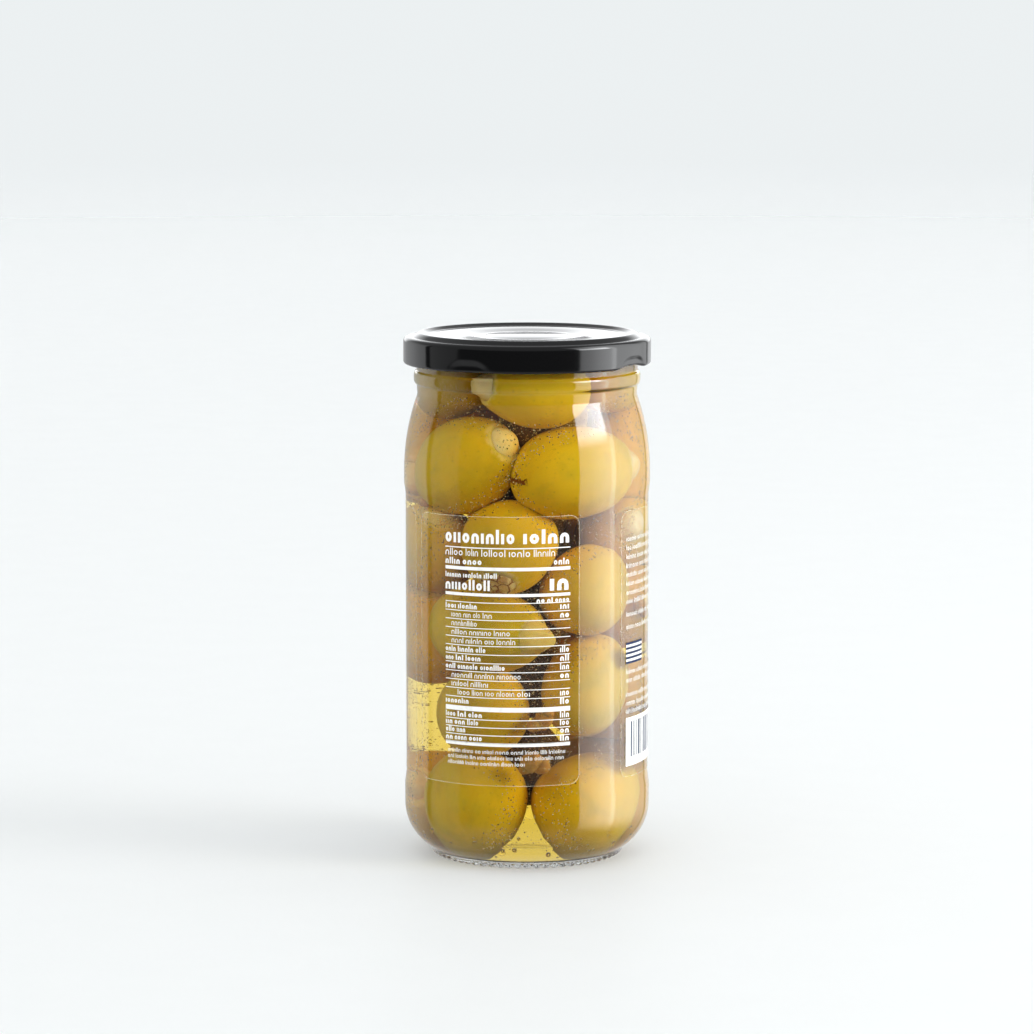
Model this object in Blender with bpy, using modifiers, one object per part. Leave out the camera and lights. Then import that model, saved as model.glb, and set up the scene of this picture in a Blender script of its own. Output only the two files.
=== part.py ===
"""A shut glass jar of stuffed green olives: turned glass, a twist-off steel lid, two clear labels and the heap inside.

Metres, +Z up. The origin is the middle of the ring that the jar stands on, and -Y faces the side with the small table label.
Azimuths are counted in degrees from that front, positive towards +X.
"""

import math
from collections import namedtuple

import bmesh
import bpy
from mathutils import Matrix, Vector

MM = 0.001
GAP = 0.3 * MM  # between pieces that touch on the real jar

# Jar body
BODY_RADIUS = 33.1 * MM
WALL = 2.4 * MM
PANEL_DEPTH = 0.4 * MM  # the label panel is this much inside the body
PANEL_LOW = 19.0 * MM
PANEL_HIGH = 101.0 * MM
PANEL_BLEND = 3.0 * MM
HEEL_RADIUS = 13.5 * MM
HEEL_TOP = 13.6 * MM
FOOT_OUTER = 26.2 * MM
FOOT_CREST = 24.9 * MM
FOOT_INNER = 23.6 * MM
FOOT_HEIGHT = 1.5 * MM
PUNT_RISE = 2.2 * MM  # hollow under the base, at the middle
FLOOR_EDGE = 3.6 * MM  # inner floor where it meets the corner
FLOOR_CROWN = 4.8 * MM  # inner floor at the middle
CORNER_RADIUS = 10.0 * MM

# Shoulder, neck and rim
SHOULDER_START = 104.0 * MM
SHOULDER_RADIUS = 60.0 * MM
SHOULDER_END = 124.6 * MM
NECK_RADIUS = 29.65 * MM
BEAD_RADIUS = 30.4 * MM
BEAD_LOW = 127.4 * MM
BEAD_HIGH = 130.8 * MM
RIM_HEIGHT = 139.2 * MM
RIM_ROUND = 0.8 * MM
JAR_STEPS = 36

# Four thread starts on the neck, under the lid
THREADS = 4
THREAD_SPAN = 62.0
THREAD_LOW = 135.7 * MM
THREAD_DROP = 1.0 * MM
THREAD_TALL = 1.9 * MM
THREAD_OUT = 1.35 * MM
THREAD_SINK = 0.5 * MM  # how far its root is buried in the neck

# Lid
LID_RADIUS = 33.2 * MM
LID_TOP = 141.3 * MM
LID_SHEET = 0.4 * MM
SKIRT_LOW = 132.9 * MM
CREST_RADIUS = 29.2 * MM
PANEL_EDGE = 27.0 * MM
PANEL_TOP = 140.2 * MM
BUTTON_RADIUS = 15.4 * MM
BUTTON_DROP = 0.45 * MM
DIMPLE_RADIUS = 10.7 * MM
DIMPLE_RISE = 0.2 * MM
LID_STEPS = 36
LUGS = 4
LUG_AT = 62.0  # azimuth of the first
LUG_HALF = 9.0
LUG_EASE = 6.0
LUG_IN = 1.0 * MM
LUG_UP = 0.9 * MM
LUG_REACH = 134.5 * MM  # the skirt is drawn in below this height
SHOULDER_ROUND = 1.5 * MM
LEDGE_DROP = 1.05 * MM  # from the crest to the ledge outside it
SKIRT_MIDDLE = 136.6 * MM
CURL_RADIUS = 0.75 * MM  # of the rolled lower edge

# Labels: clear film on the panel
FILM = 0.13 * MM
LABEL_LOW = 23.6 * MM
LABEL_HIGH = 95.4 * MM
LABEL_CORNER = 2.6 * MM
CORNER_STEPS = 4
TABLE_TILT = 0.0173  # the table label is stuck on a little askew, rising to the right
TABLE_FROM = -58.6
TABLE_TO = 24.8
WRAP_FROM = 49.3
WRAP_TO = 296.2
TABLE_STEPS = 16
WRAP_STEPS = 40

# Heap
WALL_CLEAR = 0.4 * MM
OLIVE_AROUND = 11
OLIVE_ALONG = 8
STUFFING_AROUND = 7
STUFFING_ALONG = 5
STUFFING_LENGTH = 12.0 * MM
STUFFING_WIDTH = 10.4 * MM
FULLER_END = 0.07  # how much fuller the closed end is
CORE_RADIUS = 12.0 * MM
CORE_LOW = 9.0 * MM
CORE_HIGH = 132.0 * MM

# An olive as it lies: azimuth and height of its middle, its length and width, the turn of its long axis in the
# tangent plane (degrees from the horizontal, anticlockwise from outside), its lean out of that plane, and how far
# the stuffing stands out of its open end. Lengths in millimetres.
Olive = namedtuple("Olive", "azimuth height length width turn lean stuffing")
OLIVES = (
    Olive(6, 127.0, 27, 21.0, 172, 8, 2.5),
    Olive(-80, 127.5, 26, 20.5, 20, 0, 0),
    Olive(105, 128.0, 26, 20.5, 15, 0, 2),
    Olive(-168, 127.0, 27, 21.0, -30, 0, 2),
    Olive(-48, 106.9, 30, 23.0, 30, -4, 1.2),
    Olive(36, 105.1, 32, 23.5, 4, 5, 2),
    Olive(112, 106.5, 27, 21.5, 60, 0, 0),
    Olive(-146, 104.5, 29, 23.0, -15, 0, 2.5),
    Olive(-14, 86.1, 27, 23.0, -95, 42, 1.5),
    Olive(-93, 84.0, 28, 22.0, 50, 0, 2),
    Olive(90, 88.0, 25, 20.0, 165, 25, 3),
    Olive(165, 84.5, 29, 22.5, 30, 0, 2),
    Olive(45, 74.0, 25, 22.0, 75, 10, 0),
    Olive(-29, 63.4, 32, 23.0, -3, 12, 5.5),
    Olive(-112, 59.0, 27, 21.5, 80, 0, 2),
    Olive(118, 66.0, 28, 22.0, -20, 0, 2.5),
    Olive(-172, 60.5, 28, 22.5, 65, 0, 0),
    Olive(46, 48.4, 28, 21.5, 70, -5, 0),
    Olive(-33, 41.6, 26, 22.5, 60, 20, 0),
    Olive(133, 41.0, 28, 22.0, 10, 0, 2),
    Olive(-43, 17.8, 28, 25.0, 65, 10, 0),
    Olive(52, 17.0, 28, 25.0, 25, 10, 0),
    Olive(138, 18.0, 28, 23.0, 70, 0, 2),
    Olive(-132, 15.0, 27, 22.0, 10, 0, 2),
)


def clear_scene():
    for old in list(bpy.data.objects):
        bpy.data.objects.remove(old, do_unlink=True)


def new_collection(name):
    made = bpy.data.collections.new(name)
    bpy.context.scene.collection.children.link(made)
    return made


def new_material(name, colour, roughness, metallic=0.0, transmission=0.0):
    made = bpy.data.materials.new(name)
    made.use_nodes = True
    shader = made.node_tree.nodes["Principled BSDF"]
    shader.inputs["Base Color"].default_value = (*colour, 1.0)
    shader.inputs["Roughness"].default_value = roughness
    shader.inputs["Metallic"].default_value = metallic
    shader.inputs["Transmission Weight"].default_value = transmission
    return made


def new_object(name, mesh, collection, material=None):
    made = bpy.data.objects.new(name, mesh)
    collection.objects.link(made)
    if material:
        mesh.materials.append(material)
    return made


def mesh_from(bm, name):
    bmesh.ops.recalc_face_normals(bm, faces=bm.faces)
    mesh = bpy.data.meshes.new(name)
    bm.to_mesh(mesh)
    bm.free()
    return mesh


def apply_modifiers(obj):
    """Gives the object the mesh that its modifiers make."""
    graph = bpy.context.evaluated_depsgraph_get()
    made = bpy.data.meshes.new_from_object(obj.evaluated_get(graph), depsgraph=graph)
    obj.modifiers.clear()
    obj.data = made


def smooth(obj, angle=40.0):
    obj.data.shade_smooth()
    obj.data.set_sharp_from_angle(angle=math.radians(angle))


def ease(value):
    """0 below 0, 1 above 1, and a smooth step between."""
    value = min(max(value, 0.0), 1.0)
    return value * value * (3 - 2 * value)


def arc(middle_r, middle_z, radius, start, end, steps):
    """Points (r, z) on an arc, its angles in degrees from +r towards +z."""
    angles = [math.radians(start + (end - start) * i / steps) for i in range(steps + 1)]
    return [(middle_r + radius * math.cos(a), middle_z + radius * math.sin(a)) for a in angles]


def around(azimuth, radius, height):
    """The point at this azimuth from the front, radius and height."""
    a = math.radians(azimuth)
    return Vector((radius * math.sin(a), -radius * math.cos(a), height))


# The glass

def shoulder_radius(height):
    """Outer radius of the glass between the body and the neck."""
    rise = min(max(height, SHOULDER_START), SHOULDER_END) - SHOULDER_START
    return BODY_RADIUS - SHOULDER_RADIUS + math.sqrt(SHOULDER_RADIUS**2 - rise**2)


def inner_radius(height):
    """Radius of the hollow at this height, from the floor's corner to the neck."""
    radius = shoulder_radius(height) - WALL
    below = FLOOR_EDGE + CORNER_RADIUS - height
    if below > 0:
        radius += math.sqrt(max(CORNER_RADIUS**2 - below**2, 0.0)) - CORNER_RADIUS
    return radius


def shoulder(steps):
    heights = [SHOULDER_START + (SHOULDER_END - SHOULDER_START) * i / steps for i in range(steps + 1)]
    return [(shoulder_radius(z), z) for z in heights]


def jar_profile():
    """The section from the middle of the inner floor, over the rim and down the outside, to the middle of the base."""
    inner_wall = BODY_RADIUS - WALL
    inner_neck = shoulder_radius(SHOULDER_END) - WALL
    floor_end = inner_wall - CORNER_RADIUS
    points = [(0.0, FLOOR_CROWN), (floor_end / 2, (FLOOR_CROWN + FLOOR_EDGE) / 2 + 0.2 * MM)]
    points += arc(floor_end, FLOOR_EDGE + CORNER_RADIUS, CORNER_RADIUS, -90, 0, 4)
    points += [(r - WALL, z) for r, z in shoulder(4)]
    points += arc(inner_neck + RIM_ROUND, RIM_HEIGHT - RIM_ROUND, RIM_ROUND, 180, 90, 2)
    points += arc(NECK_RADIUS - RIM_ROUND, RIM_HEIGHT - RIM_ROUND, RIM_ROUND, 90, 0, 2)
    bead_out = BEAD_RADIUS - NECK_RADIUS
    points += [(NECK_RADIUS, BEAD_HIGH + 0.4 * MM), (NECK_RADIUS + 0.8 * bead_out, BEAD_HIGH - 0.1 * MM)]
    points += [(BEAD_RADIUS, BEAD_HIGH - 0.9 * MM), (BEAD_RADIUS, BEAD_LOW + 1.1 * MM)]
    points += [(NECK_RADIUS + 0.8 * bead_out, BEAD_LOW + 0.4 * MM), (NECK_RADIUS, BEAD_LOW)]
    points += reversed(shoulder(5))
    points += [(BODY_RADIUS, PANEL_HIGH), (BODY_RADIUS - PANEL_DEPTH, PANEL_HIGH - PANEL_BLEND)]
    points += [(BODY_RADIUS - PANEL_DEPTH, PANEL_LOW + PANEL_BLEND), (BODY_RADIUS, PANEL_LOW)]
    heel_end = -math.degrees(math.acos((FOOT_OUTER + 0.5 * MM - BODY_RADIUS + HEEL_RADIUS) / HEEL_RADIUS))
    points += arc(BODY_RADIUS - HEEL_RADIUS, HEEL_TOP, HEEL_RADIUS, 0, heel_end, 5)
    points += [(FOOT_OUTER, FOOT_HEIGHT), (FOOT_OUTER - 0.4 * MM, 0.35 * MM), (FOOT_CREST + 0.5 * MM, 0.0)]
    points += [(FOOT_CREST - 0.5 * MM, 0.0), (FOOT_INNER, 0.5 * MM)]
    points += [(FOOT_INNER * 0.75, PUNT_RISE * 0.6), (FOOT_INNER * 0.4, PUNT_RISE * 0.92), (0.0, PUNT_RISE)]
    return points


def turned(name, profile, steps, collection, material):
    """A solid of revolution about Z from a profile that starts and ends on the axis."""
    mesh = bpy.data.meshes.new(name)
    mesh.from_pydata([(r, 0.0, z) for r, z in profile], [(i, i + 1) for i in range(len(profile) - 1)], [])
    made = new_object(name, mesh, collection, material)
    screw = made.modifiers.new("Turn", "SCREW")
    screw.axis = "Z"
    screw.steps = steps
    screw.render_steps = steps
    screw.use_merge_vertices = True
    screw.merge_threshold = 0.00001
    return made


def thread_start(first_azimuth):
    """One raised thread, sloping down as it goes round, with its root buried in the neck."""
    sections = 10
    root = NECK_RADIUS - THREAD_SINK
    crest = NECK_RADIUS + THREAD_OUT
    bm = bmesh.new()
    rings = []
    for i in range(sections + 1):
        along = i / sections
        azimuth = first_azimuth + THREAD_SPAN * along
        taper = 0.35 + 0.65 * ease(min(along, 1 - along) * 6)
        low = THREAD_LOW + THREAD_DROP * (1 - along)
        out = root + (crest - root) * taper
        corners = ((root, low), (out, low + 0.5 * MM), (out, low + THREAD_TALL - 0.6 * MM), (root, low + THREAD_TALL))
        rings.append([bm.verts.new(around(azimuth, r, z)) for r, z in corners])
    for one, other in zip(rings, rings[1:]):
        for k in range(4):
            bm.faces.new((one[k], one[(k + 1) % 4], other[(k + 1) % 4], other[k]))
    bm.faces.new(rings[0])
    bm.faces.new(rings[-1])
    return mesh_from(bm, "thread")


def fuse(target, pieces, solver):
    """Joins the pieces to the target with one union on their collection, and removes them."""
    union = target.modifiers.new("Union", "BOOLEAN")
    union.operation = "UNION"
    union.operand_type = "COLLECTION"
    union.collection = pieces
    union.solver = solver
    apply_modifiers(target)
    for piece in list(pieces.objects):
        bpy.data.objects.remove(piece, do_unlink=True)
    bpy.data.collections.remove(pieces)


def make_jar(collection):
    glass = new_material("glass", (0.95, 0.97, 0.96), 0.03, transmission=1.0)
    jar = turned("jar", jar_profile(), JAR_STEPS, collection, glass)
    apply_modifiers(jar)
    threads = new_collection("threads")
    for i in range(THREADS):
        new_object(f"thread_{i + 1}", thread_start(LUG_AT + 360 / THREADS * i - THREAD_SPAN / 2), threads)
    fuse(jar, threads, "EXACT")
    smooth(jar)


# The lid

def lid_profile():
    """The outer face of the pressed sheet, from the middle of the top to the end of the rolled edge."""
    points = [(0.0, PANEL_TOP - BUTTON_DROP + DIMPLE_RISE)]
    points += [(DIMPLE_RADIUS - 0.5 * MM, PANEL_TOP - BUTTON_DROP + DIMPLE_RISE)]
    points += [(DIMPLE_RADIUS + 0.5 * MM, PANEL_TOP - BUTTON_DROP), (BUTTON_RADIUS - 0.7 * MM, PANEL_TOP - BUTTON_DROP)]
    points += [(BUTTON_RADIUS + 0.7 * MM, PANEL_TOP), (PANEL_EDGE - 0.9 * MM, PANEL_TOP)]
    points += [(PANEL_EDGE, PANEL_TOP + 0.3 * MM), (CREST_RADIUS - 1.1 * MM, LID_TOP - 0.25 * MM)]
    points += [(CREST_RADIUS, LID_TOP), (CREST_RADIUS + 1.0 * MM, LID_TOP - 0.2 * MM)]
    ledge = LID_RADIUS - SHOULDER_ROUND
    points += [(CREST_RADIUS + 1.9 * MM, LID_TOP - LEDGE_DROP + 0.2 * MM), (ledge, LID_TOP - LEDGE_DROP)]
    points += arc(ledge, LID_TOP - LEDGE_DROP - SHOULDER_ROUND, SHOULDER_ROUND, 60, 0, 3)
    points += [(LID_RADIUS, SKIRT_MIDDLE), (LID_RADIUS, LUG_REACH + 0.5 * MM)]
    points += arc(LID_RADIUS - CURL_RADIUS, SKIRT_LOW + CURL_RADIUS, CURL_RADIUS, 0, -180, 4)
    return points


def lug_weight(azimuth):
    """1 on a lug, 0 between lugs, eased over LUG_EASE degrees."""
    away = abs((azimuth - LUG_AT + 180 / LUGS) % (360 / LUGS) - 180 / LUGS)
    return ease((LUG_HALF + LUG_EASE - away) / LUG_EASE)


def make_lid(collection):
    paint = new_material("lid_paint", (0.012, 0.012, 0.014), 0.22, metallic=0.0)
    bm = bmesh.new()
    points = [bm.verts.new((r, 0.0, z)) for r, z in lid_profile()]
    line = [bm.edges.new(pair) for pair in zip(points, points[1:])]
    bmesh.ops.spin(bm, geom=points + line, cent=(0, 0, 0), axis=(0, 0, 1), angle=2 * math.pi, steps=LID_STEPS)
    bmesh.ops.remove_doubles(bm, verts=bm.verts, dist=0.00001)
    for vert in bm.verts:
        if vert.co.z < LUG_REACH:
            azimuth = math.degrees(math.atan2(vert.co.x, -vert.co.y))
            weight = lug_weight(azimuth)
            radius = math.hypot(vert.co.x, vert.co.y) - LUG_IN * weight
            vert.co = around(azimuth, radius, vert.co.z + LUG_UP * weight)
    bmesh.ops.recalc_face_normals(bm, faces=bm.faces)
    if sum(face.normal.z for face in bm.faces if face.calc_center_median().z > PANEL_TOP - MM) < 0:
        bmesh.ops.reverse_faces(bm, faces=bm.faces)
    mesh = bpy.data.meshes.new("lid")
    bm.to_mesh(mesh)
    bm.free()
    lid = new_object("lid", mesh, collection, paint)
    sheet = lid.modifiers.new("Sheet", "SOLIDIFY")
    sheet.thickness = LID_SHEET
    sheet.offset = -1.0
    smooth(lid, 50.0)


# The labels

def label_mesh(name, azimuth_from, azimuth_to, across, tilt):
    """A clear film on the panel, a curved sheet with rounded corners and square edges."""
    inner = BODY_RADIUS - PANEL_DEPTH + GAP
    width = math.radians(azimuth_to - azimuth_from) * inner
    middle = (LABEL_LOW + LABEL_HIGH) / 2
    half_tall = (LABEL_HIGH - LABEL_LOW) / 2
    bm = bmesh.new()
    columns = []
    turns = [LABEL_CORNER * (1 - math.cos(math.pi / 2 * i / CORNER_STEPS)) for i in range(CORNER_STEPS + 1)]
    inside = [LABEL_CORNER + (width - 2 * LABEL_CORNER) * i / across for i in range(1, across)]
    stations = turns + inside + [width - t for t in reversed(turns)]
    for along in stations:
        edge = min(along, width - along, LABEL_CORNER)
        tall = half_tall - LABEL_CORNER + math.sqrt(LABEL_CORNER**2 - (LABEL_CORNER - edge) ** 2)
        azimuth = azimuth_from + math.degrees(along / inner)
        lift = tilt * (along - width / 2)
        column = []
        for radius in (inner, inner + FILM):
            for side in (-1, 1):
                column.append(bm.verts.new(around(azimuth, radius, middle + side * tall + lift)))
        columns.append(column)
    for one, other in zip(columns, columns[1:]):
        for a, b in ((0, 1), (1, 3), (3, 2), (2, 0)):
            bm.faces.new((one[a], one[b], other[b], other[a]))
    for column in (columns[0], columns[-1]):
        bm.faces.new([column[k] for k in (0, 1, 3, 2)])
    return mesh_from(bm, name)


def make_labels(collection):
    film = new_material("label_film", (0.97, 0.97, 0.95), 0.08, transmission=0.9)
    table = label_mesh("label_table", TABLE_FROM, TABLE_TO, TABLE_STEPS, TABLE_TILT)
    wrap = label_mesh("label_wrap", WRAP_FROM, WRAP_TO, WRAP_STEPS, 0.0)
    for mesh in (table, wrap):
        smooth(new_object(mesh.name, mesh, collection, film))


# The heap of olives

def egg(across, along, length, width):
    """An olive about its own X: a round body, a little fuller towards the closed end at -X."""
    bm = bmesh.new()
    bmesh.ops.create_uvsphere(bm, u_segments=across, v_segments=along, radius=1.0)
    bmesh.ops.rotate(bm, verts=bm.verts, matrix=Matrix.Rotation(math.pi / 2, 3, "Y"))
    for vert in bm.verts:
        fuller = 1 - FULLER_END * vert.co.x
        vert.co = Vector((vert.co.x * length / 2, vert.co.y * width / 2 * fuller, vert.co.z * width / 2 * fuller))
    return bm


def long_axis(olive):
    """The direction from the closed end to the stuffed end."""
    a, turn, lean = (math.radians(v) for v in (olive.azimuth, olive.turn, olive.lean))
    outward = Vector((math.sin(a), -math.cos(a), 0))
    right = Vector((math.cos(a), math.sin(a), 0))
    tangent = right * math.cos(turn) + Vector((0, 0, 1)) * math.sin(turn)
    return tangent * math.cos(lean) + outward * math.sin(lean)


def settle(olive, points):
    """The olive's middle: pushed out along its azimuth until it is WALL_CLEAR from the glass, and up off the floor."""
    height = olive.height * MM
    height += max(FLOOR_EDGE + WALL_CLEAR - height - min(p.z for p in points), 0.0)
    reach = 20 * MM
    for _ in range(25):
        moved = [p + around(olive.azimuth, reach, height) for p in points]
        reach += 0.8 * (min(inner_radius(p.z) - math.hypot(p.x, p.y) for p in moved) - WALL_CLEAR)
    return around(olive.azimuth, reach, height)


def olive_meshes(olive):
    """The olive's body in place and, where it shows, the end of its stuffing."""
    facing = long_axis(olive).to_track_quat("X", "Z").to_matrix()
    body = egg(OLIVE_AROUND, OLIVE_ALONG, olive.length * MM, olive.width * MM)
    bmesh.ops.rotate(body, verts=body.verts, matrix=facing)
    middle = settle(olive, [vert.co.copy() for vert in body.verts])
    bmesh.ops.translate(body, verts=body.verts, vec=middle)
    made = [mesh_from(body, "olive")]
    if olive.stuffing:
        tip = egg(STUFFING_AROUND, STUFFING_ALONG, STUFFING_LENGTH, STUFFING_WIDTH)
        along = (olive.length / 2 + olive.stuffing) * MM - STUFFING_LENGTH / 2
        bmesh.ops.translate(tip, verts=tip.verts, vec=(along, 0, 0))
        bmesh.ops.rotate(tip, verts=tip.verts, matrix=facing)
        bmesh.ops.translate(tip, verts=tip.verts, vec=middle)
        for vert in tip.verts:
            radius = math.hypot(vert.co.x, vert.co.y)
            most = inner_radius(vert.co.z) - WALL_CLEAR
            if radius > most:
                vert.co.x *= most / radius
                vert.co.y *= most / radius
        made.append(mesh_from(tip, "stuffing"))
    return made


def drop_scraps(obj):
    """Keeps the heap's outer skin: what fusing sealed inside it, or left loose, is removed."""
    bm = bmesh.new()
    bm.from_mesh(obj.data)
    unseen = set(bm.verts)
    shells = []
    while unseen:
        start = unseen.pop()
        shell = {start}
        front = [start]
        while front:
            for edge in front.pop().link_edges:
                for vert in edge.verts:
                    if vert in unseen:
                        unseen.remove(vert)
                        shell.add(vert)
                        front.append(vert)
        shells.append(shell)
    shells.sort(key=len)
    for shell in shells[:-1]:
        bmesh.ops.delete(bm, geom=list(shell), context="VERTS")
    bm.to_mesh(obj.data)
    bm.free()


def make_heap(collection):
    skin = new_material("olive_skin", (0.42, 0.32, 0.06), 0.35)
    bm = bmesh.new()
    bmesh.ops.create_cone(bm, cap_ends=True, segments=12, radius1=CORE_RADIUS, radius2=CORE_RADIUS, depth=1.0)
    for vert in bm.verts:
        vert.co.z = CORE_HIGH if vert.co.z > 0 else CORE_LOW
    heap = new_object("olives", mesh_from(bm, "olives"), collection, skin)
    pieces = new_collection("olive_pieces")
    for i, olive in enumerate(OLIVES):
        for mesh in olive_meshes(olive):
            new_object(f"piece_{i + 1}", mesh, pieces)
    fuse(heap, pieces, "MANIFOLD")
    drop_scraps(heap)
    smooth(heap)


clear_scene()
olive_jar = new_collection("olive_jar")
make_jar(olive_jar)
make_lid(olive_jar)
make_labels(olive_jar)
make_heap(olive_jar)
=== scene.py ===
# %% [markdown]
# # A jar of stuffed green olives
#
# This lesson dresses the plain solids of a shut glass jar. The frame gives the jar, the lid, two clear labels and
# the heap of olives at their real size and place. Each of them is replaced here by a finer piece with the finish of
# the real thing, and the liquid, the droplets and the print are added. All lengths below are millimetres times MM.

# %% Load the frame
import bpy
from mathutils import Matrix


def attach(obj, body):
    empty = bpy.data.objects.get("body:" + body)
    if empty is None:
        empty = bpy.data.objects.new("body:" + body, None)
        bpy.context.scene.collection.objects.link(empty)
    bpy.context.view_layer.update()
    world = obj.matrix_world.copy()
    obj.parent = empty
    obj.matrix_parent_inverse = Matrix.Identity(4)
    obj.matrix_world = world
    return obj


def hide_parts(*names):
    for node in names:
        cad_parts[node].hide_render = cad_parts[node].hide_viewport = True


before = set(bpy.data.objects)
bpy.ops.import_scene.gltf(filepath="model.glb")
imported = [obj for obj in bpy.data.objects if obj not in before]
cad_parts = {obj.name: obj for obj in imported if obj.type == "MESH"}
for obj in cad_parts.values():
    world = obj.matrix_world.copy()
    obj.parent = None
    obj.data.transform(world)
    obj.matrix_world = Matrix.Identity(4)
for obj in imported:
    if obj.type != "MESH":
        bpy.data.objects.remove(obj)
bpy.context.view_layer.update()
print("nodes:", sorted(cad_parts))

# %% Tools
import math
import random
from collections import namedtuple

import bmesh
import bpy
from mathutils import Matrix, Vector, noise

MM = 0.001

# %% [markdown]
# ## The camera
# The photograph was taken with a long lens from a little over a metre, looking down by almost eight degrees. A long
# lens keeps the two sides of the jar nearly parallel. Setting the place, the tilt and the lens as numbers, rather
# than aiming the camera at the jar, keeps the view the same when pieces are added.

# %% Camera
CAMERA_PLACE = Vector((-2.7, -1087.0, 237.5)) * MM
CAMERA_TILT = 82.33  # degrees from looking straight down
LENS = 141.7  # on the usual 36 mm wide sensor

camera = bpy.data.objects.new("camera", bpy.data.cameras.new("camera"))
camera.data.lens = LENS
camera.location = CAMERA_PLACE
camera.rotation_euler = (math.radians(CAMERA_TILT), 0, 0)
bpy.context.scene.collection.objects.link(camera)
bpy.context.scene.camera = camera
print("camera", round(CAMERA_PLACE.length, 3), "m from the foot of the jar")

# %% [markdown]
# ## Helpers for shapes
# A jar is round, so most places are told by an azimuth, a radius and a height. The azimuth is counted in degrees
# from the front (-Y), positive towards +X. A few small functions for that, for arcs and for smooth steps make the
# rest of the lesson short.

# %% Round places, arcs and smooth steps
def around(azimuth, radius, height):
    """The point at this azimuth from the front, radius and height."""
    a = math.radians(azimuth)
    return Vector((radius * math.sin(a), -radius * math.cos(a), height))


def azimuth_of(point):
    return math.degrees(math.atan2(point.x, -point.y))


def ease(value):
    """0 below 0, 1 above 1, and a smooth step between."""
    value = min(max(value, 0.0), 1.0)
    return value * value * (3 - 2 * value)


def arc(middle_r, middle_z, radius, start, end, steps):
    """Points (r, z) on an arc, its angles in degrees from +r towards +z."""
    angles = [math.radians(start + (end - start) * i / steps) for i in range(steps + 1)]
    return [(middle_r + radius * math.cos(a), middle_z + radius * math.sin(a)) for a in angles]


def softened(profile, reach, steps=4):
    """The same section with its sharp corners rounded, starting `reach` away from them where there is room."""
    points = [Vector(p) for p in profile]
    made = [points[0]]
    for before, corner, after in zip(points, points[1:], points[2:]):
        back = before - corner
        on = after - corner
        if math.degrees(back.angle(-on)) < 12:
            made.append(corner)
            continue
        start = corner + back.normalized() * min(reach, back.length * 0.45)
        end = corner + on.normalized() * min(reach, on.length * 0.45)
        for i in range(steps + 1):
            t = i / steps
            made.append(start * (1 - t) ** 2 + corner * 2 * t * (1 - t) + end * t**2)
    return [tuple(p) for p in made + [points[-1]]]


# %% Pieces from meshes
def new_piece(name, mesh):
    made = bpy.data.objects.new(name, mesh)
    bpy.context.scene.collection.objects.link(made)
    return made


def apply_modifiers(piece):
    """Gives the piece the mesh that its modifiers make."""
    graph = bpy.context.evaluated_depsgraph_get()
    made = bpy.data.meshes.new_from_object(piece.evaluated_get(graph), depsgraph=graph)
    piece.modifiers.clear()
    piece.data = made


def turned(name, profile, steps):
    """A solid of revolution about Z. The section runs down its outer side."""
    mesh = bpy.data.meshes.new(name)
    mesh.from_pydata([(r, 0.0, z) for r, z in profile], [(i, i + 1) for i in range(len(profile) - 1)], [])
    piece = new_piece(name, mesh)
    screw = piece.modifiers.new("Turn", "SCREW")
    screw.axis = "Z"
    screw.steps = steps
    screw.render_steps = steps
    screw.use_merge_vertices = True
    screw.merge_threshold = 0.01 * MM
    apply_modifiers(piece)
    return piece


def smooth(piece, angle=180.0):
    """Shaded smooth, with edges sharper than the angle left crisp."""
    piece.data.shade_smooth()
    if angle < 180:
        piece.data.set_sharp_from_angle(angle=math.radians(angle))


def ball_template(steps_around, steps_along):
    """Corners and faces of a unit ball with its poles on X."""
    bm = bmesh.new()
    bmesh.ops.create_uvsphere(bm, u_segments=steps_around, v_segments=steps_along, radius=1.0)
    bmesh.ops.rotate(bm, verts=bm.verts, matrix=Matrix.Rotation(math.pi / 2, 3, "Y"))
    corners = [vert.co.copy() for vert in bm.verts]
    faces = [[vert.index for vert in face.verts] for face in bm.faces]
    bm.free()
    return corners, faces


def joined(name, faces, bodies, **marks):
    """One mesh from bodies (lists of corners) that share their faces. A mark stores a value on every corner."""
    size = len(bodies[0])
    corners = [corner for body in bodies for corner in body]
    all_faces = [[size * i + k for k in face] for i in range(len(bodies)) for face in faces]
    mesh = bpy.data.meshes.new(name)
    mesh.from_pydata(corners, [], all_faces)
    for mark, values in marks.items():
        vectors = not isinstance(values[0], float)
        layer = mesh.attributes.new(mark, "FLOAT_VECTOR" if vectors else "FLOAT", "POINT")
        flat = [number for vector in values for number in vector] if vectors else values
        layer.data.foreach_set("vector" if vectors else "value", flat)
    return mesh


dressed = []


def dress(piece, slot, *finishes, instead_of=None):
    """Gives the piece its finishes and its place in the frame, and says how fine its mesh is."""
    for finish in finishes:
        piece.data.materials.append(finish)
    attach(piece, "root")
    if instead_of:
        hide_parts(instead_of)
    dressed.append(piece)
    triangles = sum(len(face.vertices) - 2 for face in piece.data.polygons)
    print(f"{piece.name}: {triangles} triangles")


# %% [markdown]
# ## Helpers for finishes
# A finish is a node tree. Two helpers keep the trees readable: one makes a material with a Principled shader, and
# one adds a node with its plain values and its wires in a single call.

# %% Materials and nodes
def new_finish(name):
    made = bpy.data.materials.new(name)
    made.use_nodes = True
    return made, made.node_tree, made.node_tree.nodes["Principled BSDF"]


def set_plain(shader, **values):
    """Plain values on a node's sockets: Base_Color=(r, g, b), Roughness=0.3 and so on."""
    for name, value in values.items():
        socket = shader.inputs[name.replace("_", " ")]
        colour = socket.type == "RGBA" and len(value) == 3
        socket.default_value = (*value, 1.0) if colour else value


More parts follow.
